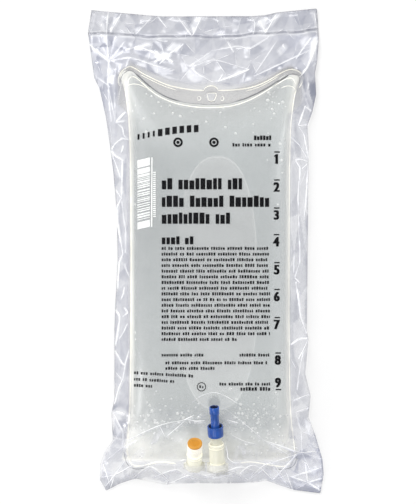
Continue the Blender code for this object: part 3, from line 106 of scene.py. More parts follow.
# Creases of the loose film: crest height and half width in mm, how white the painted highlight on
# the crest is (over 1 for the widest painted glints), and the points that it runs through in the view
CREASES = [
    (1.6, 5, 0.9, [(108, 12.7), (106.4, 32.6)]), (1.3, 4, 0.7, [(121, 14.2), (110.3, 32.6)]), (1.2, 5, 0.5,
    [(152.4, 16.5), (136.3, 34)]), (1.2, 4, 0.8, [(157.7, 16.5), (166.9, 28)]), (1.8, 7, 0.9, [(178.4, 18),
    (191.4, 35.6)]), (1.6, 7, 0.9, [(201.3, 17.2), (192.9, 34.8)]), (1.2, 5, 0.7, [(252, 18), (254.9, 23.4),
    (253.4, 34)]), (1.4, 4, 0.9, [(261, 23.4), (265.6, 32.6)]), (1.8, 6, 0.9, [(276.3, 14.2),
    (265.6, 32.6)]), (1.3, 5, 0.6, [(314.6, 14.2), (317.0, 28)]), (1.0, 6, 0.3, [(222, 17), (226, 34)]),
    (1.0, 5, 0.3, [(96, 14), (92, 30)]), (1.0, 6, 0.35, [(296, 13), (302, 30)]), (1.0, 6, 0.3, [(241, 17),
    (236, 35)]), (2.2, 8, 0.9, [(88.8, 44), (108.7, 61.6)]), (1.8, 8, 0.5, [(108.7, 61.6), (124.8, 41.7)]),
    (1.8, 6, 0.6, [(106.4, 34), (108.7, 61.6)]), (2.2, 6, 0.9, [(108.7, 61.6), (108, 85.4)]), (1.8, 7, 0.6,
    [(108.7, 61.6), (129.4, 57.8), (138.6, 60), (157, 66.2), (173.8, 70.8)]), (2.4, 9, 0.9, [(138.6, 46.3),
    (164.6, 57)]), (2.6, 8, 1.15, [(164.6, 57), (183, 44.8)]), (2.2, 6, 1.15, [(164.6, 57), (156.2, 61.6)]),
    (1.6, 6, 1.0, [(164.6, 57), (173, 62)]), (1.2, 4, 1.0, [(155, 51), (161, 55), (168, 60)]), (1.0, 4, 0.9,
    [(160, 64), (166, 58), (172, 54)]), (1.0, 4, 0.8, [(236, 49), (243, 48)]), (1.0, 4, 0.85, [(296, 59),
    (304, 47), (311, 38)]), (1.4, 6, 0.5, [(126.3, 50), (138.6, 46.3)]), (1.6, 6, 0.5, [(164.6, 57),
    (160, 40)]), (2.4, 9, 0.6, [(190.6, 66.2), (212, 50.9)]), (2.4, 9, 0.7, [(212, 50.9), (238, 46.3),
    (250.3, 48.6), (268, 38)]), (2.0, 8, 0.5, [(190.6, 66.2), (195.2, 72.3), (214.3, 83)]), (2.4, 8, 0.6,
    [(195.2, 66.2), (214.3, 60), (248.8, 70)]), (2.2, 7, 1.05, [(248.8, 70), (218.2, 81.5)]), (1.8, 6, 0.9,
    [(218.2, 81.5), (222.5, 75)]), (2.2, 9, 0.6, [(254.9, 73.9), (276.3, 41.7)]), (2.0, 7, 0.7,
    [(253.4, 77), (311.5, 49.4)]), (2.4, 7, 1.0, [(317.6, 41), (307, 67.8), (299.3, 77)]), (1.4, 4, 1.0,
    [(282.5, 45), (285.5, 49)]), (1.6, 5, 0.8, [(227.4, 41.7), (233.5, 52.5)]), (1.4, 5, 0.6,
    [(157.7, 40.3), (167.6, 41.7)]), (1.6, 7, 0.4, [(299.3, 77), (304, 96), (310, 112)]), (1.6, 6, 0.6,
    [(108, 85.4), (115, 120)]), (1.6, 6, 0.5, [(129.4, 57.8), (122, 80), (118, 104)]), (1.2, 5, 0.5,
    [(98, 78), (108, 85.4)]), (1.4, 4, 0.8, [(108.4, 90), (110.1, 110.6), (111.7, 121.5)]), (1.2, 4, 0.6,
    [(114.9, 93.3), (115.2, 121.5)]), (1.8, 5, 1.05, [(116, 122.5), (125.6, 112.2)]), (1.2, 4, 0.8,
    [(116, 122.5), (125.3, 121.5)]), (1.2, 4, 0.75, [(116, 122.5), (122.5, 128), (124.2, 135.6),
    (129, 139.9)]), (1.6, 5, 0.95, [(110.8, 150.7), (116, 143.1), (122.5, 138.8), (128.5, 140.1)]), (1.8, 5,
    1.05, [(110.8, 150.7), (116, 156.2), (123.6, 161)]), (1.2, 4, 0.65, [(110.8, 151), (119.3, 173.5),
    (121.5, 180)]), (1.0, 3, 0.85, [(123.6, 146.4), (121.5, 152.9)]), (1.4, 4, 0.95, [(122.5, 160.5),
    (122.3, 178.9), (121.8, 198.5)]), (1.2, 4, 0.75, [(116, 189.8), (121.5, 198.5)]), (1.6, 4, 0.95,
    [(121.5, 198.5), (117.1, 207.1), (117.7, 222.3), (120.9, 241.8), (123.1, 253.8)]), (1.2, 4, 0.65,
    [(121.5, 198.5), (123.6, 214.7), (125.8, 231), (125.8, 252.7)]), (1.4, 4, 0.9, [(123.1, 253.8),
    (119.3, 263), (117.7, 288)]), (1.0, 3, 0.65, [(125.2, 265.2), (128, 273.9), (130.1, 277.1)]), (1.0, 3,
    0.85, [(124.7, 286.9), (123.6, 293.4), (121.5, 298.8)]), (1.2, 3, 0.8, [(124.7, 307.5), (128, 312.4),
    (123.1, 316.2)]), (1.6, 4, 1.05, [(116, 309.7), (119.8, 316.2), (117.7, 334.6), (115.5, 345.4)]), (1.0,
    3, 0.7, [(127.4, 323.8), (123.6, 332.4), (119.8, 337.9)]), (1.4, 4, 0.9, [(114.9, 350.3),
    (122.5, 362.8), (125.2, 365)]), (1.2, 4, 0.75, [(129.6, 348.7), (125.8, 362.8), (123.1, 378)]), (1.6, 4,
    1.0, [(122.5, 379.1), (118.2, 391), (114.4, 404)]), (1.0, 3, 0.65, [(116, 372.6), (121.5, 379.1)]),
    (1.4, 4, 0.9, [(111.7, 414.3), (117.1, 411.6), (124.7, 413.8)]), (1.8, 5, 1.1, [(304.8, 106.9),
    (298.3, 125.3)]), (1.2, 4, 0.85, [(305.3, 106.9), (311.3, 111.2)]), (1.2, 4, 0.75, [(298.3, 125.9),
    (307.5, 124.8)]), (1.4, 4, 0.9, [(298.8, 127.5), (303.7, 135.1), (306.9, 151.3), (309.1, 160)]), (1.2,
    4, 0.65, [(291.2, 138.3), (299.4, 145.9), (309.1, 162.2)]), (1.6, 4, 0.95, [(295, 160), (301.5, 159.5),
    (309.1, 162.2)]), (1.6, 4, 1.05, [(295, 160.6), (299.4, 167.6), (299.4, 179.5)]), (1.2, 4, 0.9,
    [(308.6, 162.2), (301.5, 169.2)]), (1.4, 4, 1.0, [(308, 165.4), (305.9, 198), (303.7, 219.7)]), (1.2, 3,
    0.95, [(298.8, 180.6), (297.7, 198), (298.3, 211)]), (1.0, 3, 0.7, [(298.3, 211), (298.8, 240)]), (1.0,
    3, 1.0, [(308.6, 83), (308, 89.5)]), (1.4, 4, 0.9, [(298.3, 230), (299.4, 246.3), (299.4, 262.5),
    (294.5, 276.6)]), (1.0, 3, 0.65, [(293.9, 251.7), (293.4, 273.4)]), (1.2, 3, 0.95, [(294.5, 277.7),
    (299.9, 283.1)]), (1.6, 4, 1.1, [(295.6, 282.1), (298.3, 300.5), (300.4, 316.8), (306.4, 333)]), (1.6,
    5, 1.05, [(308, 337.9), (299.4, 338.5), (290.7, 343.9)]), (1.4, 4, 0.95, [(307.5, 340.6),
    (302.6, 350.4), (298.3, 358)]), (1.2, 4, 0.8, [(305.3, 343.9), (301.5, 358), (298.8, 374.3),
    (296.6, 389.4)]), (1.0, 4, 0.65, [(290.7, 359.1), (296.1, 368.8)]), (1.4, 4, 0.9, [(153.7, 477),
    (175, 469.5), (185, 474.5)]), (1.4, 4, 0.85, [(167.5, 484.5), (187.5, 475.7), (200, 479.5)]), (1.2, 4,
    0.8, [(200, 474.5), (217.5, 477), (235, 473)]), (1.4, 4, 0.95, [(225, 472), (240, 467), (255, 470.7)]),
    (1.4, 4, 0.9, [(240, 473), (250, 465.7), (260, 467)]), (1.4, 4, 0.9, [(260, 467), (272.5, 479.5)]),
    (1.4, 4, 0.9, [(272.5, 479.5), (285, 467), (297.5, 452)]), (1.4, 4, 0.9, [(285, 469.5),
    (292.5, 489.5)]), (1.2, 4, 0.9, [(290, 477), (321, 467)]), (1.2, 4, 0.85, [(297.5, 453), (317.5, 451)]),
    (1.2, 4, 0.9, [(104, 488), (115, 474.5), (124, 462)]), (1.2, 4, 0.85, [(101.5, 477), (115, 474.5),
    (134, 464)]), (1.0, 4, 0.85, [(115, 474.5), (110, 489)]), (1.2, 4, 0.9, [(137.5, 467), (147.5, 464.5)]),
    (2.0, 7, 0.75, [(186.4, 419.5), (159.4, 425.5), (129.5, 439)]), (1.8, 6, 0.6, [(159.4, 425.5),
    (165.4, 437.5)]), (1.6, 7, 0.7, [(165.4, 437.5), (186.4, 419.5)]), (1.4, 6, 0.4, [(186.4, 419.5),
    (206.7, 413)]), (2.2, 8, 0.6, [(225.4, 409), (244.9, 424), (264.4, 440.5)]), (2.0, 8, 0.7,
    [(264.4, 440.5), (289.8, 455.4)]), (2.0, 7, 0.9, [(264.4, 440.5), (302.6, 453.2)]), (1.8, 6, 0.7,
    [(301.8, 452.4), (301, 430)]), (1.6, 6, 0.5, [(301.8, 452.4), (322, 459)]), (1.6, 6, 0.5,
    [(301.8, 452.4), (312, 474)]), (1.6, 5, 0.8, [(292.8, 400), (310, 394)]), (1.6, 5, 0.8, [(295.8, 412),
    (309, 407.5)]), (1.6, 5, 0.6, [(295.8, 412), (301, 430), (314, 436)]), (1.8, 6, 0.8, [(113.5, 413.5),
    (123.5, 431.5)]), (1.8, 6, 0.6, [(123.5, 431.5), (122.7, 447.2)]), (1.8, 7, 0.6, [(122.7, 447.2),
    (103, 463)]), (1.6, 6, 0.6, [(122.7, 447.2), (137, 440)]), (1.6, 7, 0.5, [(122.7, 447.2), (131, 466),
    (128, 481)]), (1.8, 6, 0.85, [(103, 463), (110.5, 487)]), (1.6, 6, 0.9, [(131, 480), (150.5, 466.7),
    (171.4, 483)]), (1.6, 6, 0.5, [(171.4, 483), (190.9, 470.4), (205.9, 475), (226.9, 469), (247.9, 480)]),
    (1.8, 6, 0.8, [(247.9, 480), (270.4, 463), (288.3, 486)]), (1.6, 6, 0.75, [(270.4, 463),
    (301.8, 452.4)]), (1.8, 6, 0.9, [(307.8, 482.4), (290, 476)]), (1.8, 6, 0.9, [(307.8, 482.4),
    (322, 478)]), (1.6, 6, 1.0, [(307.8, 482.4), (320, 490)]), (1.6, 6, 0.95, [(307.8, 482.4), (305, 462)]),
    (1.6, 6, 0.5, [(307.8, 482.4), (296, 489)]), (1.4, 5, 0.4, [(150.5, 466.7), (140, 455)]), (0.6, 3, 0.55,
    [(192.5, 402.5), (200.6, 396), (213.7, 392.5), (223.7, 395.6), (228.7, 400)]), (1.0, 3, 0.9,
    [(225.3, 443), (227.5, 452.5), (228, 458), (233, 462), (240, 463)]), (1.2, 4, 0.85, [(180, 421),
    (186, 419), (194.4, 415)]), (1.0, 4, 0.8, [(186, 419), (196, 421), (205, 420.6)]), (1.0, 3, 0.8,
    [(227.5, 420), (238.7, 423)]), (0.8, 3, 0.8, [(180, 461), (185.6, 459)]), (1.2, 4, 0.6, [(240, 405),
    (229, 398), (222, 394)]), (1.2, 4, 0.7, [(230, 434), (244, 441), (256, 444)]),
]
# Facets of the film with a painted white flash of reflected light: how white, and their corners in the view
PAINTED_FLASHES = [
    (1.0, [(155.3, 56.5), (163, 52), (172, 54.5), (169, 58.5), (159, 61.5)]), (0.8, [(165, 51), (172, 43.5),
    (182.8, 43.8), (176, 53)]), (0.7, [(131.5, 49), (148, 42.5), (152, 45), (140, 50)]), (0.6, [(96, 21),
    (105, 24), (106, 34)]), (0.7, [(109, 28), (116, 18), (120, 19), (111, 33)]), (0.7, [(190, 26),
    (196, 16.5), (203, 17), (193.5, 34)]), (0.7, [(178, 19), (185, 22), (191, 33)]), (0.7, [(255, 24),
    (262, 18), (268, 19), (264, 30)]), (0.6, [(268, 28), (274, 15), (281, 14), (273, 26)]), (0.8,
    [(309, 52), (313, 38), (317.5, 36), (316, 50), (311, 64)]), (0.7, [(88, 43), (97, 49), (106, 60),
    (94, 52)]), (0.6, [(109, 64), (114, 72), (112, 84), (108, 80)]), (0.6, [(127, 42), (135, 44),
    (131, 49)]), (0.7, [(228, 78), (238, 71), (249, 70.5), (236, 77)]), (0.5, [(196, 63), (210, 52),
    (214, 55), (203, 63)]), (0.45, [(300, 41), (306, 37), (303, 50)]), (0.5, [(276, 52), (284, 44),
    (288, 47), (280, 56)]), (0.6, [(150, 444), (159, 426), (162, 433), (157, 442)]), (0.4, [(160, 427),
    (182, 419), (166, 436)]), (0.55, [(222, 413), (235, 414), (234, 421), (226, 420)]), (0.5, [(238, 443),
    (246, 444), (245, 455), (240, 452)]), (0.35, [(197, 413), (206, 414), (204, 426)]), (0.4, [(268, 444),
    (286, 452), (270, 450)]), (0.7, [(304, 417), (312, 424), (309, 434), (305, 428)]), (0.6, [(104, 468),
    (112, 472), (107, 478)]), (0.6, [(115, 421), (122, 431), (117, 437)]), (0.6, [(131, 470), (141, 475),
    (135, 480)]), (0.6, [(158, 478), (166, 472), (170, 477), (164, 483)]), (0.5, [(206, 474), (219, 476),
    (212, 480)]), (0.6, [(262, 466), (271, 470), (273, 480), (266, 474)]), (0.7, [(292, 480), (304, 484),
    (296, 488)]), (0.6, [(309, 466), (318, 470), (313, 478)]), (0.5, [(240, 475), (252, 470), (256, 475),
    (247, 480)]),
]
# Edges of the bag in the view: both sides by row, the sealed band and the whole top by column
LEFT_EDGE = [(84, 125.2), (95, 126.5), (120, 129), (150, 130.3), (250, 131), (330, 131), (400, 130),
             (430, 128), (450, 127), (466, 129)]
RIGHT_EDGE = [(84, 296.5), (95, 294.5), (120, 291), (150, 289.5), (250, 289), (330, 289), (400, 290),
              (430, 292.5), (450, 294.5), (466, 294)]
BAND_EDGE = [(118, 76), (129, 71), (135.5, 74), (151.8, 87.5), (169, 98), (186, 102.5), (212, 104.5),
             (229, 103), (246, 98.5), (262, 91), (276, 82), (288.6, 75.5), (297, 76), (303, 80)]
TOP_EDGE = [(90, 84), (118, 78), (121, 70), (129.5, 66), (137, 69), (150, 76), (169, 84.5), (192, 89),
            (205, 88), (211, 85.5), (217, 88), (229, 90), (250, 87.5), (266, 81), (281, 73), (293, 69),
            (302, 74), (308, 84), (330, 90)]
# Welds and rims of the bag: half width in mm, finish (pale rims with a painted glow, or dark lines of
# painted shadow), and points in the view
WELDS = [
    (0.45, "rim", [(119.5, 86), (118.3, 80), (120.5, 73), (125, 68.5), (130, 66.5), (136, 69), (142, 73),
                   (150, 77.2), (159, 81.5), (169, 85.4), (180, 88), (192, 89.8), (204, 90.4)]),
    (0.4, "rim", [(203.5, 91), (205, 88), (208, 86.2), (211, 85.7), (214, 86.2), (217, 88), (218.5, 91)]),
    (0.45, "rim", [(218, 90.4), (229, 90.2), (240, 89.2), (250, 87.6), (260, 84.4), (270, 79.5),
                   (280, 73.5), (287, 70.3), (293, 69.4), (299, 71.5), (303, 76), (302.5, 82), (299, 88)]),
    (0.25, "line", [(121.5, 84), (121.2, 78), (124.5, 72.8), (130, 70.5), (135, 73), (143, 80),
                    (151.8, 87.6)]),
    (0.6, "line", [(135, 73.2), (143, 80.5), (151.8, 88), (160, 93.8), (169, 98.2), (180, 101.6)]),
    (0.25, "line", [(176, 100.6), (186, 102.8), (199, 104.2), (212, 104.7), (229, 103.4), (240, 100.6)]),
    (0.6, "line", [(236, 101.6), (246, 98.6), (254, 95), (262, 91), (270, 86.4), (280, 80), (288.6, 75.6)]),
    (0.25, "line", [(284, 78), (291, 74), (297, 75), (300, 79), (298.5, 85)]),
    (0.22, "rim", [(207, 93.5), (216, 93.5), (214, 100.5), (209, 100.5), (207, 93.5)]),
    (0.2, "rim", [(197.5, 97), (199.5, 96), (201, 98), (200, 100), (198, 100.5), (197.5, 97)]),
    (0.2, "rim", [(220.5, 98), (222.5, 96), (224, 98.5), (223, 100.5), (221, 100.5), (220.5, 98)]),
    (0.16, "line", [(206, 92), (217, 92)]), (0.16, "line", [(207.5, 101.6), (215.5, 101.6)]),
    (0.25, "rim", [(140, 74.5), (152, 80.5), (164, 86), (176, 90)]),
    (0.25, "rim", [(246, 91), (258, 87.5), (270, 81.5), (279, 76)]),
    (0.4, "rim", [(127.5, 86), (129, 79), (133, 76.6), (139, 80), (151, 91), (163, 98.5), (178, 104),
                  (196, 107), (212, 107.5), (230, 106.2), (246, 101.6), (260, 94.8), (274, 86.2),
                  (287, 78.6), (293, 79), (295.5, 84)]),
    (0.22, "rim", [(125.5, 89), (128, 85.5), (133, 84), (140, 85), (147, 88.5)]),
    (0.22, "rim", [(296.5, 92), (293, 87), (287, 86), (281, 88)]),
    (0.7, "rim", [(125.2, 88), (126.7, 97), (129, 120), (130.4, 150), (131, 200), (131.2, 250),
                  (131.1, 330), (130.2, 400), (128.4, 430), (127.2, 448), (127.8, 457), (131, 463.5),
                  (137, 466.3), (145, 465.5), (153, 463), (163, 462), (176, 463.5)]),
    (0.42, "rim", [(296.3, 90), (294.2, 97), (291.2, 120), (289.8, 150), (289.2, 200), (289, 250),
                  (289, 330), (290, 400), (292.2, 430), (294.4, 448), (294.4, 456), (291.5, 462.5),
                  (285, 466), (276, 466), (262, 463.5), (250, 462), (240, 463)]),
    (0.25, "line", [(124.6, 450), (125.2, 459), (129, 466), (136, 469), (146, 468)]),
    (0.25, "line", [(296.9, 450), (296.9, 458), (293.5, 465.5), (286, 469), (274, 469)]),
]
# The overwrap's top seal, and what its film lies tight over, in the view
SEAL_LINE = [(86, 33), (107, 34), (136, 36), (192, 37.3), (218, 37), (267, 34), (319, 29.5)]
PORTS_LINE = [(214, 398), (217, 440), (218, 466), (194, 466), (194, 440)]


def arithmetic(operation, reflected=False):
    """A Wire's method for an operation, or for its reflected form."""
    def method(self, other):
        pair = {0: other, 1: self} if reflected else {0: self, 1: other}
        return self.shade.node("ShaderNodeMath", {"operation": operation}, pair)

    return method


class Wire:
    """An output socket that arithmetic can be written with."""

    def __init__(self, shade, socket):
        self.shade, self.socket = shade, socket

    __add__, __radd__ = arithmetic("ADD"), arithmetic("ADD", True)
    __sub__, __rsub__ = arithmetic("SUBTRACT"), arithmetic("SUBTRACT", True)
    __mul__, __rmul__ = arithmetic("MULTIPLY"), arithmetic("MULTIPLY", True)
    __pow__ = arithmetic("POWER")
    least = arithmetic("MINIMUM")

    def size(self):
        """The value without its sign."""
        return self.shade.node("ShaderNodeMath", {"operation": "ABSOLUTE"}, {0: self})

    def clamp(self):
        return self.shade.node("ShaderNodeClamp", {}, {0: self})

    def span(self, low, high, smooth=True):
        """0 below low, 1 above high, eased between."""
        kind = {"interpolation_type": "SMOOTHSTEP" if smooth else "LINEAR"}
        return self.shade.node("ShaderNodeMapRange", kind, {0: self, 1: low, 2: high})


def add_node(tree, kind, settings=None, inputs=None):
    """A node with its settings, and then its sockets' values or links."""
    made = tree.nodes.new(kind)
    for key, value in (settings or {}).items():
        setattr(made, key, value)
    for key, value in (inputs or {}).items():
        if isinstance(value, bpy.types.NodeSocket):
            tree.links.new(value, made.inputs[key])
        else:
            made.inputs[key].default_value = value
    return made


class Shade:
    """A material's node tree, built by short calls."""

    def __init__(self, name):
        self.material = bpy.data.materials.new(name)
        self.material.use_nodes = True
        self.tree = self.material.node_tree
        self.tree.nodes.clear()
        self.end = self.tree.nodes.new("ShaderNodeOutputMaterial")

    def node(self, kind, settings=None, inputs=None, out=0):
        plugs = {key: value.socket if isinstance(value, Wire) else value
                 for key, value in (inputs or {}).items()}
        return Wire(self, add_node(self.tree, kind, settings, plugs).outputs[out])

    def attribute(self, name):
        return self.node("ShaderNodeAttribute", {"attribute_name": name}, {}, out="Fac")

    def facing(self, blend):
        """0 where the surface faces the eye, rising to 1 at its edge, for gloss."""
        return self.node("ShaderNodeLayerWeight", {}, {"Blend": blend}, out="Facing")

    def place(self):
        return self.node("ShaderNodeTexCoord", {}, {}, out="Object")

    def across_along(self):
        """The piece's own X and Y, in metres."""
        parts = self.node("ShaderNodeSeparateXYZ", {}, {0: self.place()})
        return parts, Wire(self, parts.socket.node.outputs[1])

    def height(self):
        return self.node("ShaderNodeSeparateXYZ", {}, {0: self.place()}, out=2)

    def vector(self, operation, first, second, out=0):
        return self.node("ShaderNodeVectorMath", {"operation": operation}, {0: first, 1: second}, out)

    def curve(self, value, points):
        """A smooth curve through points, read at a value."""
        points = sorted(points)
        low, high = points[0][0], points[-1][0]
        least, most = min(p[1] for p in points), max(p[1] for p in points)
        made = self.tree.nodes.new("ShaderNodeFloatCurve")
        line = made.mapping.curves[0]
        while len(line.points) < len(points):
            line.points.new(0.5, 0.5)
        for point, (at, to) in zip(line.points, points):
            point.location = ((at - low) / (high - low), (to - least) / (most - least))
        made.mapping.update()
        self.tree.links.new(((value - low) * (1 / (high - low))).clamp().socket, made.inputs["Value"])
        return Wire(self, made.outputs[0]) * (most - least) + least

    def noise(self, scale, detail=2, rough=0.5, stretch=None):
        vector = self.place()
        if stretch:
            vector = self.node("ShaderNodeMapping", {}, {"Vector": vector, "Scale": stretch})
        return self.node("ShaderNodeTexNoise", {}, {"Vector": vector, "Scale": scale, "Detail": detail,
                                                    "Roughness": rough})

    def cloud(self, scale, detail=3, rough=0.6, stretch=None):
        """Noise as soft patches from 0 to 1."""
        return self.noise(scale, detail, rough, stretch).span(0.3, 0.7)

    def mix(self, factor, first, second):
        return self.node("ShaderNodeMix", {"data_type": "RGBA"},
                         {0: factor, 6: rgba(first), 7: rgba(second)}, out=2)

    def mottled(self, factor, colour, less, more):
        """A colour that wavers between less and more of itself."""
        return self.mix(factor, [c * less for c in colour], [min(1.0, c * more) for c in colour])

    def bump(self, height, strength, distance):
        return self.node("ShaderNodeBump", {}, {"Height": height, "Strength": strength,
                                                "Distance": distance})

    def grain(self, scale, strength):
        """A fine grain of the surface, 0.1 mm deep."""
        return self.bump(self.noise(scale), strength, 0.1 * MM)

    def plastic(self, **inputs):
        return self.node("ShaderNodeBsdfPrincipled", {},
                         {key.replace("_", " "): value for key, value in inputs.items()})

    def finish(self, surface):
        self.tree.links.new(surface.socket, self.end.inputs["Surface"])
        return self.material

    def film(self, share, surface):
        """The surface over what is behind it, by its share of the light."""
        clear = self.node("ShaderNodeBsdfTransparent")
        return self.finish(self.node("ShaderNodeMixShader", {}, {0: share, 1: clear, 2: surface}))


def rgba(colour):
    """A colour as a link or as four channels."""
    return colour if isinstance(colour, Wire) else (*tuple(colour)[:3], 1.0)


def settings(kind):
    """The scene's settings of one kind, such as bag_look."""
    return getattr(bpy.context.scene, kind)


def arrays(obj):
    """An object's vertex places as an array, and its faces."""
    mesh = obj.data
    places = np.empty(len(mesh.vertices) * 3)
    mesh.vertices.foreach_get("co", places)
    return places.reshape(-1, 3), [tuple(face.vertices) for face in mesh.polygons]


def search_tree(*objects, shift=(0, 0, 0)):
    """The surfaces of objects, moved by shift, ready for rays."""
    places, faces = [], []
    for obj in objects:
        points, loops = arrays(obj)
        start = len(places)
        places += [tuple(p + np.array(shift)) for p in points]
        faces += [tuple(start + i for i in loop) for loop in loops]
    return BVHTree.FromPolygons(places, faces)


def meeting(tree, x, y, start, run):
    """Height at which an upright ray from start meets a surface, or None."""
    hit = tree.ray_cast(Vector((x, y, start)), Vector((0, 0, run)))[0]
    return hit.z if hit else None


def top_of(tree, x, y):
    """Height of the highest surface over a place, or None."""
    return meeting(tree, x, y, ABOVE, -1)


def underside_of(tree, x, y):
    """Height of the lowest surface over a place, or None."""
    return meeting(tree, x, y, BELOW, 1)


def add_object(name, data):
    obj = bpy.data.objects.new(name, data)
    bpy.context.collection.objects.link(obj)
    return obj


def make_smooth(obj, smooth=True):
    obj.data.polygons.foreach_set("use_smooth", [smooth] * len(obj.data.polygons))


def add_piece(name, places, faces, material, body="pack", smooth=True):
    """A finished mesh that rides on a body."""
    mesh = bpy.data.meshes.new(name)
    mesh.from_pydata([tuple(map(float, p)) for p in places], [], faces)
    mesh.validate()
    mesh.materials.append(material)
    obj = add_object(name, mesh)
    make_smooth(obj, smooth)
    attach(obj, body)
    return obj


@contextmanager
def edited(data):
    """A mesh opened for bmesh operations, and written back after them."""
    mesh = bmesh.new()
    mesh.from_mesh(data)
    yield mesh
    mesh.to_mesh(data)
    mesh.free()


def give_attribute(obj, name, values):
    """A value for each vertex, which the materials read by name."""
    layer = obj.data.attributes.new(name, "FLOAT", "POINT")
    layer.data.foreach_set("value", np.asarray(values, dtype=np.float32).ravel())


def apply_modifiers(obj):
    """Turns an object with live modifiers into a plain mesh."""
    graph = bpy.context.evaluated_depsgraph_get()
    mesh = bpy.data.meshes.new_from_object(obj.evaluated_get(graph))
    obj.modifiers.clear()
    obj.data = mesh


class Outline:
    """The edge of a solid seen from above, read by cutting it across and along."""

    def __init__(self, node, reach):
        """reach is how far from the middle a side has to be to count as one."""
        obj = frame["nodes"][node]
        places, _ = arrays(obj)
        ends = np.empty(len(obj.data.edges) * 2, dtype=np.int32)
        obj.data.edges.foreach_get("vertices", ends)
        self.first, self.last = places[ends[::2]], places[ends[1::2]]
        low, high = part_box(node)
        inset, rows, columns = 0.3 * MM, 420, 240
        sides = []
        for y in np.linspace(low[1] + inset, high[1] - inset, rows):
            cut = self.cut(1, y)
            left, right = cut[cut[:, 0].argmin()], cut[cut[:, 0].argmax()]
            sides.append((y, left[0], left[2], right[0], right[2]))
        sides = np.array(sides)
        self.left = sides[sides[:, 1] < -reach]
        self.right = sides[sides[:, 3] > reach]
        self.ends = []
        for share in np.linspace(0, 1, columns):
            x0, x1 = (self.left[row, 1] * (1 - share) + self.right[row, 3] * share for row in (0, -1))
            lower, upper = self.cut(0, x0 + 1e-5), self.cut(0, x1 + 1e-5)
            bottom, top = lower[lower[:, 1].argmin()], upper[upper[:, 1].argmax()]
            self.ends.append((share, bottom[1], bottom[2], top[1], top[2]))
        self.ends = np.array(self.ends)

    def cut(self, axis, at):
        """Places where the solid's edges cross a plane."""
        before, after = self.first[:, axis] - at, self.last[:, axis] - at
        crossing = (before * after <= 0) & (before != after)
        share = (before / np.where(before == after, 1, before - after))[crossing][:, None]
        return self.first[crossing] * (1 - share) + self.last[crossing] * share

    def at(self, across, along):
        """Ground places and edge heights for shares across and along the outline."""
        def read(value, table, column):
            return np.interp(value, table[:, 0], table[:, column])

        y = read(across, self.ends, 1) * (1 - along) + read(across, self.ends, 3) * along
        x = read(y, self.left, 1) * (1 - across) + read(y, self.right, 3) * across
        edge = read(y, self.left, 2) * (across < 0.5) + read(y, self.right, 4) * (across >= 0.5)
        low, high = read(across, self.ends, 2), read(across, self.ends, 4)
        edge = np.where(along <= 0, low, np.where(along >= 1, high, edge))
        return x, y, edge


def to_lines(x, y, line):
    """Distance in metres of points from a line through points of the view, and share along it."""
    best = np.full(x.shape, 1e9)
    share = np.zeros(x.shape)
    points = [spot(*p) for p in line]
    for i, (start, end) in enumerate(zip(points, points[1:])):
        run = np.array(end) - np.array(start)
        along = ((x - start[0]) * run[0] + (y - start[1]) * run[1]) / max(run @ run, 1e-12)
        along = np.clip(along, 0, 1)
        away = np.hypot(x - start[0] - along * run[0], y - start[1] - along * run[1])
        share = np.where(away < best, (i + along) / (len(points) - 1), share)
        best = np.minimum(best, away)
    return best, share


def enclosed(x, y, corners):
    """1 where places are inside a polygon of the view, 0 elsewhere."""
    within = np.zeros(x.shape, bool)
    places = [spot(*corner) for corner in corners]
    for (ax, ay), (bx, by) in zip(places, places[1:] + places[:1]):
        within ^= ((ay > y) != (by > y)) & (x < ax + (bx - ax) * (y - ay) / (by - ay if by != ay else 1))
    return within * 1.0


def ease(value, low, high):
    """0 below low, 1 above high, eased between."""
    t = np.clip((value - low) / (high - low), 0, 1)
    return t * t * (3 - 2 * t)


class Facets:
    """Flat triangular facets between scattered points, over the reach of a grid of places."""

    def __init__(self, x, y, step_x, step_y, seed):
        self.step = step_x, step_y
        draw = random.Random(seed).uniform
        columns = int((x.max() - x.min()) / step_x) + 3
        rows = int((y.max() - y.min()) / step_y) + 3
        points = [Vector((x.min() / step_x + i - 1 + draw(-0.05, 1.05),
                          y.min() / step_y + j - 1 + draw(-0.05, 1.05) + 0.5 * (i % 2)))
                  for i in range(columns) for j in range(rows)]
        heights = [draw(0, 1) for _ in points]
        flat, _, self.faces, origin, _, _ = delaunay_2d_cdt(points, [], [], 0, 1e-6)
        self.points = [Vector((p.x, p.y, heights[origin[k][0]] if origin[k] else 0.5))
                       for k, p in enumerate(flat)]
        self.tree = BVHTree.FromPolygons(self.points, self.faces)
        self.shades = np.array([draw(0, 1) for _ in self.faces])

    def read(self, x, y):
        """Height of the facets, and each facet's own shade, both from 0 to 1."""
        above, down = 5.0, Vector((0, 0, -1))
        height, shade = np.full(x.size, 0.5), np.full(x.size, 0.5)
        for k, (a, b) in enumerate(zip((x / self.step[0]).ravel(), (y / self.step[1]).ravel())):
            place, _, face, _ = self.tree.ray_cast(Vector((a, b, above)), down)
            if place:
                height[k], shade[k] = place.z, self.shades[face]
        return height.reshape(x.shape), shade.reshape(x.shape)

    def ridges(self, least):
        """The raised edges between facets: both ends, in metres, and how sharp the edge is."""
        beside = {}
        for face in self.faces:
            for k in range(3):
                pair = tuple(sorted((face[k], face[k - 1])))
                beside.setdefault(pair, []).append(face[k - 2])
        for (a, b), others in beside.items():
            if len(others) != 2:
                continue
            bend = sum(self.points[k].z for k in (a, b)) - sum(self.points[k].z for k in others)
            if bend / 2 > least:
                ends = [(self.points[k].x * self.step[0], self.points[k].y * self.step[1]) for k in (a, b)]
                yield (*ends, bend / 2)


def blurred(field, reach):
    """Mean of a field over a square around each place."""
    kernel = np.ones(2 * reach + 1) / (2 * reach + 1)
    for axis in (0, 1):
        padded = np.pad(field, [(reach, reach) if axis == k else (0, 0) for k in (0, 1)], mode="edge")
        field = np.apply_along_axis(np.convolve, axis, padded, kernel, "valid")
    return field


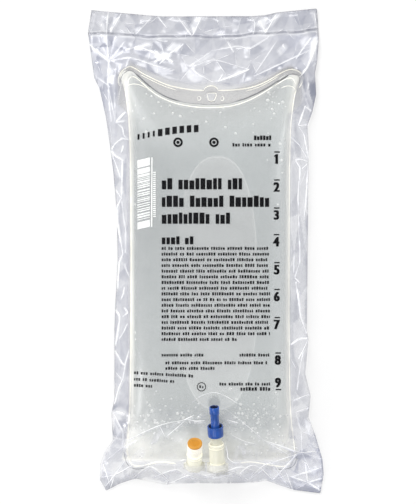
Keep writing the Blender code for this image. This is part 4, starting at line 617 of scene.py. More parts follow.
def neighbours_mean(z):
    """A grid with each inner value replaced by the mean of the four beside it."""
    around = z.copy()
    around[1:-1, 1:-1] = (z[:-2, 1:-1] + z[2:, 1:-1] + z[1:-1, :-2] + z[1:-1, 2:]) / 4
    return around


def film_material():
    """Clear film that keeps more of the light where it is loose, tilted or creased, with painted tilt
    shading, painted highlights on its crests and flashes, and painted shade in its valleys.
    """
    look = settings("overwrap_look")
    shade = Shade("clear crinkled film")
    loose, white, ridge, seal, tone = (shade.attribute(name)
                                       for name in ("loose", "white", "ridge", "seal", "tone"))
    x, y = shade.across_along()
    head = y.span(163 * MM, 171 * MM)
    foot = (y * -1.0).span(120 * MM, 160 * MM)
    cloud = shade.noise(40).span(0.35, 0.7)
    # glow is painted highlight: the white crests and flashes, and the convex ridges. dark is painted shade
    # in the valleys, with the seal line's darker tint.
    glow = (white + ridge.span(0.45, 1.1) * 0.35 * loose).clamp()
    dark = ((ridge * -1.0).span(0.5, 1.3) * loose * 0.35 + seal * 0.35).clamp()
    tint = shade.mix(tone, look.tint, look.sheen)
    tint = shade.mix(dark, tint, look.shadow)
    tint = shade.mix(glow, tint, (0.97, 0.975, 0.99))
    facing = shade.facing(0.3)
    sideways = x * (1 / HALF_WIDTH)
    top = y.span(95 * MM, 125 * MM) * (1.0 - head)
    right = sideways.span(0.2, 0.75) * (1.0 - head) * (1.0 - top)
    tint = shade.mix(foot * 0.15 + right * 0.14, tint, (0.5, 0.54, 0.78))
    # The haze goes by how loose the film is and by its painted tilt shading, in four bands from its head to
    # its foot.
    haze = look.haze * (0.03 + 0.97 * loose) * (1.25 + 0.45 * foot - (0.55 + 0.6 * foot) * tone)
    haze = haze * (0.9 + 0.2 * cloud)
    middle = (1.0 - top) * (1.0 - head) * (1.0 - foot)
    bulge = sideways * sideways
    haze = haze * ((1.78 + 0.3 * sideways - 0.22 * bulge) * head
                   + (1.6 + 0.08 * sideways + 1.65 * bulge) * top
                   + (1.5 - 0.5 * sideways) * middle
                   + (0.78 + 0.35 * sideways + 0.25 * bulge) * foot)
    # Painted light on the foot's facets that the painted tilt shading turns to the light: they are made
    # paler.
    painted_facet_sheen = foot * loose.span(0.06, 0.13) * (1.0 - loose.span(0.2, 0.5)) * tone.span(0.5, 0.95)
    share = (haze + (0.4 + 0.3 * foot) * glow + 0.2 * dark + 0.12 * facing * facing * loose
             + 0.2 * painted_facet_sheen)
    # The emission lights the highlights on the right with a painted glow.
    surface = shade.plastic(Base_Color=tint, Roughness=0.14 + 0.12 * cloud, IOR=look.gloss,
                            Emission_Color=shade.mix(glow * right, (0, 0, 0), (1, 1, 1)),
                            Emission_Strength=0.3,
                            Normal=shade.bump(shade.noise(500), 0.06, 0.2 * MM))
    return shade.film(share.clamp(), surface)


class OverwrapLook(PropertyGroup):
    tint: FloatVectorProperty(name="Tint", description="Colour of the film's haze",
                              default=(0.25, 0.265, 0.34), **COLOUR)
    # The painted colour of the facets that the painted tilt shading turns to the light.
    sheen: FloatVectorProperty(name="Sheen", description="Colour of the facets turned to the light",
                               default=(0.85, 0.855, 0.9), **COLOUR)
    # The colour of the painted shade in the film's valleys.
    shadow: FloatVectorProperty(name="Fold tint", description="Colour in the film's valleys",
                                default=(0.16, 0.165, 0.21), **COLOUR)
    haze: FloatProperty(name="Haze", description="Share of light the film keeps", default=0.33, **SHARE)
    gloss: FloatProperty(name="Gloss index", description="Refractive index that sets the gloss",
                         default=1.7, min=1.2, max=3)
    columns: IntProperty(name="Columns", description="Faces across the film", default=212, min=40)
    rows: IntProperty(name="Rows", description="Faces along the film", default=432, min=80)


def slack(x, y):
    """How loose the film lies, from 0 to 1, and how far a place is beside the bag, above it,
    below it and over its foot."""
    ears = ease(y, 104 * MM, 116 * MM) * (1 - ease(y, 138 * MM, 146 * MM))
    beside = np.maximum(-(59.3 + 9 * ears) * MM - x, x - (64.8 + 10 * ears) * MM)
    margin = ease(beside, -3 * MM, 3 * MM)
    top_x, top_y = zip(*(spot(*p) for p in TOP_EDGE))
    head = ease(y - np.interp(x, top_x, top_y), 0.5 * MM, 5 * MM)
    under = ease(-y, 160 * MM, 176 * MM)
    foot = ease(-y, 112 * MM, 130 * MM)
    loose = np.maximum.reduce([margin, head, 0.8 * under, 0.16 * foot])
    loose *= 1 - 0.12 * foot
    tight, _ = to_lines(x, y, PORTS_LINE)
    loose *= 1 - 0.8 * (1 - ease(tight, 5 * MM, 9 * MM)) * (1 - under)
    return loose, margin, head, under, foot


def crests(x, y, tiny):
    """Height of the drawn creases, and how white the painted highlights on their crests and on the flashing
    facets are.
    """
    crest, white = np.zeros_like(x), np.zeros_like(x)
    for height, width, pale, line in CREASES:
        away, share = to_lines(x, y, line)
        crest = np.maximum(crest, height * MM * np.clip(1 - away / (width * MM), 0, 1))
        taper = np.clip(np.sin(math.pi * np.clip(share, 0, 1)) * 1.2 + 0.2, 0, 1)
        breadth = (0.12 + 0.4 * pale ** 2) * MM * taper
        white = np.maximum(white, pale * (1 - ease(away, 0.4 * breadth, breadth + 0.55 * MM)))
    white *= 0.4 + 0.6 * ease(tiny, 0.3, 0.55)
    for pale, corners in PAINTED_FLASHES:
        flash = neighbours_mean(enclosed(x, y, corners))
        white = np.maximum(white, pale * flash * (0.7 + 0.3 * ease(tiny, 0.2, 0.6)))
    return crest, white


class BUILD_OT_overwrap(Operator):
    """Drapes the sealed film over the bag, with its creases, folds and seals"""
    bl_idname = "fluidbag.overwrap"
    bl_label = "Overwrap film"

    def execute(self, context):
        look = settings("overwrap_look")
        outline = Outline("overwrap", 55 * MM)
        solid = search_tree(frame["nodes"]["overwrap"])
        across, along = np.meshgrid(np.linspace(0, 1, look.columns + 1), np.linspace(0, 1, look.rows + 1))
        x, y, edge = outline.at(across, along)
        base, inner = self.survey(solid, x, y, edge)
        loose, margin, head, under, foot = slack(x, y)

        # Broad facets lie at both ends and long ones beside the bag, with tiny ones over them.
        broad, narrow = Facets(x, y, 9 * MM, 9 * MM, 4), Facets(x, y, 5 * MM, 22 * MM, 6)
        small, shades = broad.read(x, y)
        tiny, tiny_shades = Facets(x, y, 4.6 * MM, 5.0 * MM, 9).read(x, y)
        long, long_shades = narrow.read(x, y)
        ends = np.maximum(head, foot * np.maximum(margin, np.maximum(under, 0.35)))
        relief = (ends * ((1.5 + 0.9 * foot) * small + 0.3 * tiny)
                  + (1 - ends) * margin * (0.8 * long + 0.3 * small)) * MM
        crest, white = crests(x, y, tiny)

        # The top seal wanders a little, between two pressed lips.
        wander = 0.5 * MM * np.sin(x / (9 * MM)) + 0.3 * MM * np.sin(x / (3.7 * MM) + 1.0)
        away, _ = to_lines(x, y + wander, SEAL_LINE)
        seal = 1 - ease(away, 0.3 * MM, 1.1 * MM)
        lips = np.exp(-((away - 1.7 * MM) / (0.6 * MM)) ** 2)
        rim = np.minimum.reduce([across, 1 - across, along, 1 - along])
        hold = ease(rim, 0.0, 0.012)
        height = base + (relief + 0.8 * crest) * hold * (1 - 0.85 * seal)
        height -= 0.4 * MM * seal * hold
        shelter = inner.copy()
        for dr in (-1, 0, 1):
            for dc in (-1, 0, 1):
                shelter = np.maximum(shelter, np.roll(np.roll(inner, dr, 0), dc, 1))
        air, lowest = 0.45 * MM, 0.35 * MM
        clear = np.where(shelter > 0, shelter + air, lowest)
        height[1:-1, 1:-1] = np.maximum(height, clear)[1:-1, 1:-1]

        # Painted shading: a facet is painted light or dark by its tilt to the light, and it has a random
        # shade of its own as well.
        soft = neighbours_mean(neighbours_mean(height))
        curve = (height - soft) / (0.25 * MM)
        along_y, across_x = np.gradient(soft)
        run_x = np.maximum(np.gradient(x, axis=1), 0.1 * MM)
        run_y = np.maximum(np.gradient(y, axis=0), 0.1 * MM)
        slope = (across_x / run_x) * -0.45 + (along_y / run_y) * 0.89
        panel = ends * (shades - 0.5) + (1 - ends) * (long_shades - 0.5) + 0.3 * (tiny_shades - 0.5)
        sides = margin * (1 - ends)
        tone = np.clip(0.4 - (0.35 + 1.8 * foot - 0.1 * sides) * (slope - blurred(slope, 12))
                       + (0.4 + 0.9 * foot * (1 - sides) + 0.5 * sides * (x > 0)) * panel, 0, 1)

        index = np.arange(x.size).reshape(x.shape)
        places = np.stack([x, y, height], axis=-1).reshape(-1, 3).tolist()
        faces = np.stack([index[:-1, :-1], index[:-1, 1:], index[1:, 1:], index[1:, :-1]],
                         axis=-1).reshape(-1, 4).tolist()
        faces += self.back_leaf(solid, outline, across, along, index, places)
        obj = add_piece("overwrap_film", places, faces, film_material())
        with edited(obj.data) as mesh:
            bmesh.ops.recalc_face_normals(mesh, faces=mesh.faces)
        # white holds the painted highlights of the crests, the flashes and the seal's lips; tone holds the
        # painted tilt shading and each facet's random shade.
        white = white * np.maximum(loose, 0.85 * foot) + 0.35 * lips * hold * ease(small, 0.3, 0.6)
        for name, front, back in (("loose", loose, 0.55), ("white", np.clip(white, 0, 1), 0.0),
                                  ("tone", tone, 0.6), ("ridge", np.clip(curve, -1, 1), 0.0),
                                  ("seal", seal, 0.0)):
            rest = np.full(len(places) - x.size, back)
            give_attribute(obj, name, np.concatenate([front.ravel(), rest]))
        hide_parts("overwrap")
        self.crease_lines(obj, (x, y, loose), broad, narrow)
        return {"FINISHED"}

    def survey(self, solid, x, y, edge):
        """Heights of the plain film, and of all that it must stay clear of."""
        nodes = frame["nodes"]
        contents = search_tree(*(nodes[n] for n in nodes if n not in ("overwrap", "solution")))
        moved = search_tree(nodes["port_protector"], shift=Vector(PULL["axis"]) * PULL["range_m"][1])
        drawn_in, passes = 0.9985, 14
        base, inner = edge.copy(), np.zeros_like(edge)
        middle_x, middle_y = x.mean(), y.mean()
        for r in range(1, x.shape[0] - 1):
            for c in range(1, x.shape[1] - 1):
                px, py = x[r, c], y[r, c]
                height = top_of(solid, middle_x + (px - middle_x) * drawn_in,
                                middle_y + (py - middle_y) * drawn_in)
                if height is not None:
                    base[r, c] = height
                inner[r, c] = max(top_of(contents, px, py) or 0, top_of(moved, px, py) or 0)
        for _ in range(passes):
            base = neighbours_mean(base)
        return base, inner

    def back_leaf(self, solid, outline, across, along, index, places):
        """Faces of the back, which shares the rim. Its few inner places are added to places."""
        rows, columns = index.shape[0] - 1, index.shape[1] - 1
        loop = ([(0, c) for c in range(columns)] + [(r, columns) for r in range(rows)]
                + [(rows, c) for c in range(columns, 0, -1)] + [(r, 0) for r in range(rows, 0, -1)])
        flat = [Vector((across[p], along[p])) for p in loop]
        owner = [int(index[p]) for p in loop]
        inner_rows, inner_columns = 60, 30
        for r in range(1, inner_rows):
            for c in range(1, inner_columns):
                flat.append(Vector(((c + 0.5 * (r % 2) - 0.25) / inner_columns, r / inner_rows)))
                owner.append(None)
        shown, _, faces, origin, _, _ = delaunay_2d_cdt(flat, [], [], 0, 1e-9)
        names = []
        for k, point in enumerate(shown):
            known = owner[origin[k][0]]
            if known is None:
                x, y, _ = map(float, outline.at(np.array(point.x), np.array(point.y)))
                known = len(places)
                places.append((x, y, 0.05 * MM + (underside_of(solid, x, y) or 0.0)))
            names.append(known)
        return [tuple(names[i] for i in face) for face in faces]

    def crease_lines(self, film, field, broad, narrow):
        """Thin beads of painted highlight along the creases and along the sharpest raised edges of the
        facets.
        """
        tree = search_tree(film)
        x, y, loose = field
        draw = random.Random(31)
        lines = []
        for _, _, pale, line in CREASES:
            if pale >= 0.5:
                path = [trace(tree, p.x, p.y, LIFT) for p in spaced(line, 1.4)]
                at_foot = 1.2 if max(line[0][1], line[-1][1]) > 450 else 1.0
                lines.append((path, 0.12 + at_foot * 0.6 * pale ** 4 * draw.uniform(0.6, 1.3)))
        low_x, low_y = x.min(), y.min()
        span_x, span_y = np.ptp(x), np.ptp(y)
        dull = 0.12
        for facets, margin in ((broad, False), (narrow, True)):
            for start, end, bend in facets.ridges(dull):
                middle = ((start[0] + end[0]) / 2, (start[1] + end[1]) / 2)
                column = int((middle[0] - low_x) / span_x * (x.shape[1] - 1))
                row = int((middle[1] - low_y) / span_y * (x.shape[0] - 1))
                if not (6 < column < x.shape[1] - 7 and 6 < row < x.shape[0] - 7):
                    continue
                at_end = middle[1] > 118 * MM or middle[1] < -150 * MM
                if (loose[row, column] < 0.45 or at_end == margin
                        or draw.random() < (0.6 if margin else 0.2)):
                    continue
                first, last = Vector(start), Vector(end)
                cut = sorted((draw.uniform(0, 0.3), draw.uniform(0.55, 1)))
                first, last = first.lerp(last, cut[0]), first.lerp(last, cut[1])
                pieces = max(3, int((last - first).length / (1.6 * MM)))
                path = []
                for k in range(pieces + 1):
                    point = first.lerp(last, k / pieces)
                    height = top_of(tree, point.x, point.y)
                    if height is not None:
                        path.append(Vector((point.x, point.y, height + LIFT)))
                if len(path) > 3:
                    wide = 1.0 if middle[1] < -150 * MM else 0.8 if margin else 0.45
                    lines.append((path, 0.07 + wide * min(bend - dull, 0.6)))
        tapered = []
        for path, radius in lines:
            peak = draw.uniform(0.3, 0.7)
            along = [k / (len(path) - 1) for k in range(len(path))]
            tapered.append((path, [radius * MM * max(0.12, min(t / peak, (1 - t) / (1 - peak)))
                                   for t in along]))
        # The beads are white with a painted glow: painted glints on the crests.
        painted_glint = simple_finish("crease glint", (0.97, 0.975, 0.985), 0.2, 0.8, 0.02, 300, glow=0.1)
        piece = add_piece("painted_crease_glints", *beads(tapered, 6, 0.35), painted_glint)


def view_curve(shade, value, points, by_row=False):
    """A curve through points of the view: Y read at X or, from a table by row, X read at Y."""
    if by_row:
        return shade.curve(value, [spot(px, py)[::-1] for py, px in points])
    return shade.curve(value, [spot(px, py) for px, py in points])


def skin_material():
    """The bag's own film: paler and creamier towards its edges and foot, where it also has a painted glow,
    with a pale sealed band and tail.
    """
    look = settings("bag_look")
    shade = Shade("flexible bag film")
    x, y = shade.across_along()
    down = y * -1.0
    inward = (x - view_curve(shade, y, LEFT_EDGE, True)).least(view_curve(shade, y, RIGHT_EDGE, True) - x)
    over_band = y - view_curve(shade, x, BAND_EDGE)
    band = over_band.span(-0.3 * MM, 0.5 * MM)
    foot = down.span(126 * MM, 160 * MM)
    head = y.span(60 * MM, 118 * MM)
    corner = down.span(60 * MM, 150 * MM) * (x - 5 * MM).size().span(35 * MM, 66 * MM)
    width = 3.0 * MM + 8 * MM * foot + 2.5 * MM * head
    pale = ((1.0 - (inward * (1.0 / (4 * MM))).span(0.1, 1.0)) * (0.75 - 0.4 * head)
            + (1.0 - (inward - width).span(-1.0 * width.least(0.012), 3 * MM)) * 0.4
            + foot * 0.65 + corner * 0.45 + down.span(-20 * MM, 110 * MM) * 0.16 + head * 0.3).clamp()
    # The raised weld sleeves of the two ports are milky, and the tail round them is clear.
    near_port = 0.0
    for px in (217.5, 194.5):
        near_port = (1.0 - (x - spot(px, 0)[0]).size().span(8 * MM, 9 * MM)) + near_port
    boss = (shade.height().span(14.5 * MM, 16 * MM) * down.span(158 * MM, 160.5 * MM)
            * near_port.clamp())
    tail = down.span(162 * MM, 165 * MM) * (1.0 - boss)
    under_band = 1.0 - (over_band * -1.0).span(0.0, 6 * MM)
    pale = (pale + under_band * 0.4 * head).clamp() * (1.0 - band)
    cloud = shade.cloud(22)
    tint = shade.mix(cloud, look.skin, [c * 1.1 for c in look.skin])
    for share, colour in ((pale, look.rim), (band, (0.6, 0.59, 0.57)), (boss, (0.9, 0.89, 0.8)),
                          (tail, (0.9, 0.91, 0.95))):
        tint = shade.mix(share, tint, colour)

    # Painted shadows: darker ovals painted on the film behind the ports.
    mark = 0.0
    for px, py, wide, tall, strength in ((214, 402, 7, 8.5, 0.8), (194, 427, 8.5, 9.5, 0.4),
                                         (215.5, 420, 10, 6, 0.4)):
        at_x, at_y = spot(px, py)
        round_x, round_y = (x - at_x) * (1 / (wide * PIXEL)), (y - at_y) * (1 / (tall * PIXEL))
        mark = (1.0 - (round_x * round_x + round_y * round_y).span(0.35, 1.15)) * strength + mark
    tint = shade.mix(mark.clamp(), tint, (0.34, 0.37, 0.38))
    facing = shade.facing(0.3)
    share = (look.skin_share * (1.0 - band * 0.3) + 0.58 * pale + 0.2 * facing * facing + 0.14 * band
             + 0.3 * mark) * (1.0 - 0.7 * tail) + 0.12 * boss
    # A painted glow of the rim colour at the foot and along the pale edges, brighter on the left.
    lean = 1.0 - x * (0.45 / (70 * MM))
    painted_glow = ((0.55 * foot + 0.32 * pale) * lean * (1.0 - 0.8 * boss)).clamp()
    surface = shade.plastic(Base_Color=tint, Roughness=0.16 + 0.1 * cloud, IOR=1.5,
                            Emission_Color=shade.mix(painted_glow, (0, 0, 0), look.rim), Emission_Strength=0.2)
    return shade.film(share.clamp(), surface)


def fluid_material():
    """Clear fluid, deeper in tint where it is deep, with the lens shape of its flat front."""
    look = settings("bag_look")
    shade = Shade("clear fluid")
    depth = shade.attribute("depth")
    x, y = shade.across_along()
    middle_x, middle_y = spot(217, 283)
    power = 2.5
    reach = (((x - middle_x) * (1 / (40.5 * PIXEL))).size() ** power
             + ((y - middle_y) * (1 / (127 * PIXEL))).size() ** power) ** (1 / power)
    front = shade.height().span(12 * MM, 18 * MM)
    pocket = (1.0 - reach.span(0.97, 1.01)) * front
    # A painted highlight: a pale ring painted round the edge of the air pocket.
    ring = (1.0 - (reach - 0.985).size().span(0.0, 0.018)) * front
    inner_ring = (1.0 - (reach - 0.955).size().span(0.0, 0.05)) * front
    cloud = shade.cloud(9, 2, 0.5)
    right = x.span(0, 75 * MM, False)
    low = (y * -1.0).span(60 * MM, 120 * MM)
    tint = shade.mix(cloud, look.fluid, [c * 1.1 for c in look.fluid])
    tint = shade.mix(pocket * 0.8, tint, (0.85, 0.86, 0.86))
    tint = shade.mix((ring * 0.8 + inner_ring * 0.3).clamp(), tint, (0.92, 0.93, 0.92))
    share = ((0.05 + look.depth_share * depth * (0.85 + 0.3 * right)) * (1.0 - 0.5 * pocket)
             + pocket * (0.06 + 0.16 * low) + 0.14 * ring + 0.05 * inner_ring)
    return shade.film(share.clamp(), shade.plastic(Base_Color=tint, Roughness=0.1, IOR=1.33))


class BagLook(PropertyGroup):
    skin: FloatVectorProperty(name="Bag film", description="Tint of the bag's own film",
                              default=(0.72, 0.76, 0.76), **COLOUR)
    rim: FloatVectorProperty(name="Rim", description="Colour of the bag's edges",
                             default=(0.96, 0.955, 0.91), **COLOUR)
    fluid: FloatVectorProperty(name="Fluid", description="Tint of the fluid's depth",
                               default=(0.52, 0.6, 0.61), **COLOUR)
    skin_share: FloatProperty(name="Film share", description="Share of light the bag's film keeps",
                              default=0.11, **SHARE)
    depth_share: FloatProperty(name="Depth share", description="Share that the fluid keeps at its deepest",
                               default=0.105, **SHARE)


def rounded_copy(node, name, levels, keep=None):
    """A smooth copy of a node's mesh, its triangles joined into the quads they came from. keep
    picks the faces that stay."""
    mesh = bmesh.new()
    mesh.from_mesh(frame["nodes"][node].data)
    bmesh.ops.remove_doubles(mesh, verts=mesh.verts, dist=1e-6)
    if keep:
        bmesh.ops.delete(mesh, geom=[f for f in mesh.faces if not keep(f)], context="FACES")
    bmesh.ops.join_triangles(mesh, faces=mesh.faces, angle_face_threshold=math.radians(25),
                             angle_shape_threshold=math.radians(60))
    data = bpy.data.meshes.new(name)
    mesh.to_mesh(data)
    mesh.free()
    obj = add_object(name, data)
    finer = obj.modifiers.new("rounding", "SUBSURF")
    finer.levels = finer.render_levels = levels
    apply_modifiers(obj)
    make_smooth(obj)
    obj.data.materials.clear()
    return obj


class BUILD_OT_bag(Operator):
    """Makes the bag's own film with its sealed band, ears and folded tail, and the fluid in it"""
    bl_idname = "fluidbag.bag"
    bl_label = "Bag and fluid"

    def execute(self, context):
        room, whole = (search_tree(frame["nodes"][node]) for node in ("solution", "container"))

        def outside(face):
            """Whether a face isn't one that lines the room for the fluid."""
            start = face.calc_center_median() + face.normal * 0.02 * MM
            fluid, wall = (tree.ray_cast(start, face.normal) for tree in (room, whole))
            return fluid[0] is None or (wall[0] is not None and wall[3] < fluid[3])

        skin = rounded_copy("container", "bag_film", 2, outside)
        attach(skin, "pack")
        skin.data.materials.append(skin_material())
        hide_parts("container")

        fluid = rounded_copy("solution", "fluid", 2)
        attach(fluid, "pack")
        deepest = 35 * MM
        depth = []
        for x, y, _ in arrays(fluid)[0]:
            high, low = top_of(room, x, y), underside_of(room, x, y)
            depth.append((high - low) / deepest if high is not None and low is not None else 0.0)
        give_attribute(fluid, "depth", depth)
        fluid.data.materials.append(fluid_material())
        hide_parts("solution")
        return {"FINISHED"}


def trace(tree, px, py, lift):
    """The place on a surface that a point of the view shows, raised by lift."""
    ground = Vector((*spot(px, py), 0.0))
    place = tree.ray_cast(EYE, (ground - EYE).normalized())[0]
    if place is None:
        near = tree.find_nearest(ground + Vector((0, 0, 12 * MM)))[0]
        place = ground.lerp(EYE, near.z / EYE.z)
    return place + Vector((0, 0, lift))


def simple_finish(name, colour, rough, share=1.0, vary=0.08, scale=90, coat=0.0, ior=1.5, glow=0.0):
    """A plain moulded or printed finish with slight mottling and a fine grain, and by glow a painted glow
    of its own colour.
    """
    shade = Shade(name)
    cloud = shade.cloud(scale)
    surface = shade.plastic(Base_Color=shade.mottled(cloud, colour, 1 - vary, 1 + vary),
                            Roughness=rough + 0.08 * cloud, IOR=ior, Coat_Weight=coat,
                            Emission_Color=rgba(colour), Emission_Strength=glow,
                            Normal=shade.grain(1500, 0.1))
    if share >= 1:
        return shade.finish(surface)
    return shade.film((share - 0.06 + 0.12 * cloud).clamp(), surface)


def swept(points, radius, sides, flat):
    """Places and faces of a closed bead along points, with tapering ends. The radius may be a
    list, with one for each point."""
    places, faces = [], []
    last = len(points) - 1
    for i, point in enumerate(points):
        run = (points[min(i + 1, last)] - points[max(i - 1, 0)]).normalized()
        side = run.cross(Vector((0, 0, 1))).normalized()
        up = side.cross(run)
        size = radius[i] if isinstance(radius, list) else radius * min(1.0, 0.25 + 0.4 * min(i, last - i))
        for k in range(sides):
            turn = 2 * math.pi * k / sides
            places.append(point + side * size * math.cos(turn) + up * size * flat * math.sin(turn))
    for i in range(last):
        for k in range(sides):
            a, b = i * sides + k, i * sides + (k + 1) % sides
            faces.append((a, b, b + sides, a + sides))
    faces += [tuple(range(sides))[::-1], tuple(range(last * sides, (last + 1) * sides))]
    return places, faces


def beads(lines, sides=8, flat=0.7):
    """Places and faces of the beads along lines, which are given as points and a radius."""
    places, faces = [], []
    for points, radius in lines:
        more, loops = swept(points, radius, sides, flat)
        faces += [tuple(i + len(places) for i in loop) for loop in loops]
        places += more
    return places, faces


def spaced(points, step):
    """Points along a smooth line through points, about step apart."""
    line = [Vector(p) for p in points]
    out = []
    for i, (start, end) in enumerate(zip(line, line[1:])):
        before, after = line[max(i - 1, 0)], line[min(i + 2, len(line) - 1)]
        pieces = max(1, int((end - start).length / step))
        for k in range(pieces):
            t = k / pieces
            out.append(0.5 * (2 * start + (end - before) * t
                              + (2 * before - 5 * start + 4 * end - after) * t ** 2
                              + (3 * start - before - 3 * end + after) * t ** 3))
    out.append(line[-1])
    return out


class BUILD_OT_welds(Operator):
    """Lays the weld lines of painted shadow and the clear rims with a painted glow along the bag's edges
    and its sealed band
    """
    bl_idname = "fluidbag.welds"
    bl_label = "Welds and rims"

    def execute(self, context):
        skin = search_tree(bpy.data.objects["bag_film"])
        # The rims' glow is painted light, and the weld shadow is a painted shadow.
        finishes = {"rim": simple_finish("pale weld", (0.97, 0.95, 0.86), 0.18, 0.88, 0.04, glow=0.3),
                    "line": simple_finish("weld shadow", (0.2, 0.21, 0.23), 0.25, 0.6, 0.2)}
        for kind, name in (("rim", "bag_rims"), ("line", "weld_lines")):
            lines = [([trace(skin, p.x, p.y, 0.05 * MM) for p in spaced(line, 2.0)], radius * MM)
                     for radius, finish, line in WELDS if finish == kind]
            piece = add_piece(name, *beads(lines), finishes[kind])
        return {"FINISHED"}


class Ink:
    """Flat marks laid on the bag's front, gathered into one mesh."""

    def __init__(self, tree, lift):
        self.tree, self.lift = tree, lift
        self.places, self.faces = [], []

    def patch(self, corners):
        """A four-sided mark between corners of the view, in cells small enough to follow the bag."""
        a, b, c, d = (Vector(p) for p in corners)
        cell = 4
        cells = max(1, math.ceil(max((b - a).length, (c - d).length) / cell))
        rows = max(1, math.ceil(max((d - a).length, (c - b).length) / cell))
        start = len(self.places)
        for j in range(rows + 1):
            for i in range(cells + 1):
                low, high = a.lerp(b, i / cells), d.lerp(c, i / cells)
                point = low.lerp(high, j / rows)
                self.places.append(trace(self.tree, point.x, point.y, self.lift))
        for j in range(rows):
            for i in range(cells):
                k = start + j * (cells + 1) + i
                self.faces.append((k, k + 1, k + cells + 2, k + cells + 1))

    def bar(self, x0, x1, y, tall, slant=0.0):
        """A bar with its middle line from (x0, y) to (x1, y + slant)."""
        half = tall / 2
        self.patch([(x0, y + half), (x1, y + slant + half), (x1, y + slant - half), (x0, y - half)])

    def words(self, x0, x1, y, tall, draw, letter=1.7, gap=0.75, slant=0.0, fixed=None):
        """A row of small blocks in groups, in place of a line of print. fixed gives the number of
        blocks in each group."""
        at = x0
        left = fixed[0] if fixed else draw.randint(2, 9)
        group = 0
        while at < x1 - letter * 0.6:
            wide = min(letter * draw.uniform(0.75, 1.2), x1 - at)
            high = tall * draw.choice((1.0, 1.0, 0.86, 0.86, 0.8))
            rise = slant * (at - x0) / max(x1 - x0, 1)
            self.bar(at, at + wide, y + rise + (tall - high) / 2, high)
            at += wide + gap
            left -= 1
            if left <= 0:
                group += 1
                at += letter * 1.1
                left = fixed[group] if fixed and group < len(fixed) else draw.randint(2, 9)

    def ring(self, px, py, radius, stroke, sides=28):
        """A round stroke, its outer edge at the radius."""
        turns = [2 * math.pi * k / sides for k in range(sides + 1)]
        inner = radius - stroke
        for a, b in zip(turns, turns[1:]):
            self.patch([(px + size * math.cos(turn), py + size * math.sin(turn))
                        for size, turn in ((radius, a), (radius, b), (inner, b), (inner, a))])

    def figure(self, text, px, py, tall, bold):
        """A numeral of the scale, from the plain built-in typeface."""
        curve = bpy.data.curves.new("figure", "FONT")
        curve.body, curve.align_x, curve.align_y = text, "CENTER", "CENTER"
        curve.offset, curve.resolution_u = bold, 6
        obj = add_object("figure", curve)
        bpy.context.view_layer.update()
        mesh = bpy.data.meshes.new_from_object(obj.evaluated_get(bpy.context.evaluated_depsgraph_get()))
        points = [v.co.copy() for v in mesh.vertices]
        low, high = min(p.y for p in points), max(p.y for p in points)
        middle_x = (min(p.x for p in points) + max(p.x for p in points)) / 2
        size = tall / (high - low)
        start = len(self.places)
        for p in points:
            self.places.append(trace(self.tree, px + (p.x - middle_x) * size * 0.82,
                                     py - (p.y - (low + high) / 2) * size, self.lift))
        self.faces += [tuple(start + i for i in face.vertices) for face in mesh.polygons]
        bpy.data.objects.remove(obj)

    def piece(self, name, material):
        """The marks as one piece, all facing up."""
        obj = add_piece(name, self.places, self.faces, material, smooth=False)
        with edited(obj.data) as mesh:
            bmesh.ops.reverse_faces(mesh, faces=[f for f in mesh.faces if f.normal.z < 0])
        return obj


# Numerals of the scale, and the rows of small print, in the view
FIGURES = [(1, 276.7, 159), (2, 276.6, 187), (3, 276.4, 215), (4, 276.2, 241.7), (5, 276.7, 269.7),
           (6, 276.8, 296.5), (7, 276.9, 324.6), (8, 277.8, 360), (9, 278, 382.6)]
SMALL_LINES = [254 + 5.69 * k for k in range(-1, 16)]


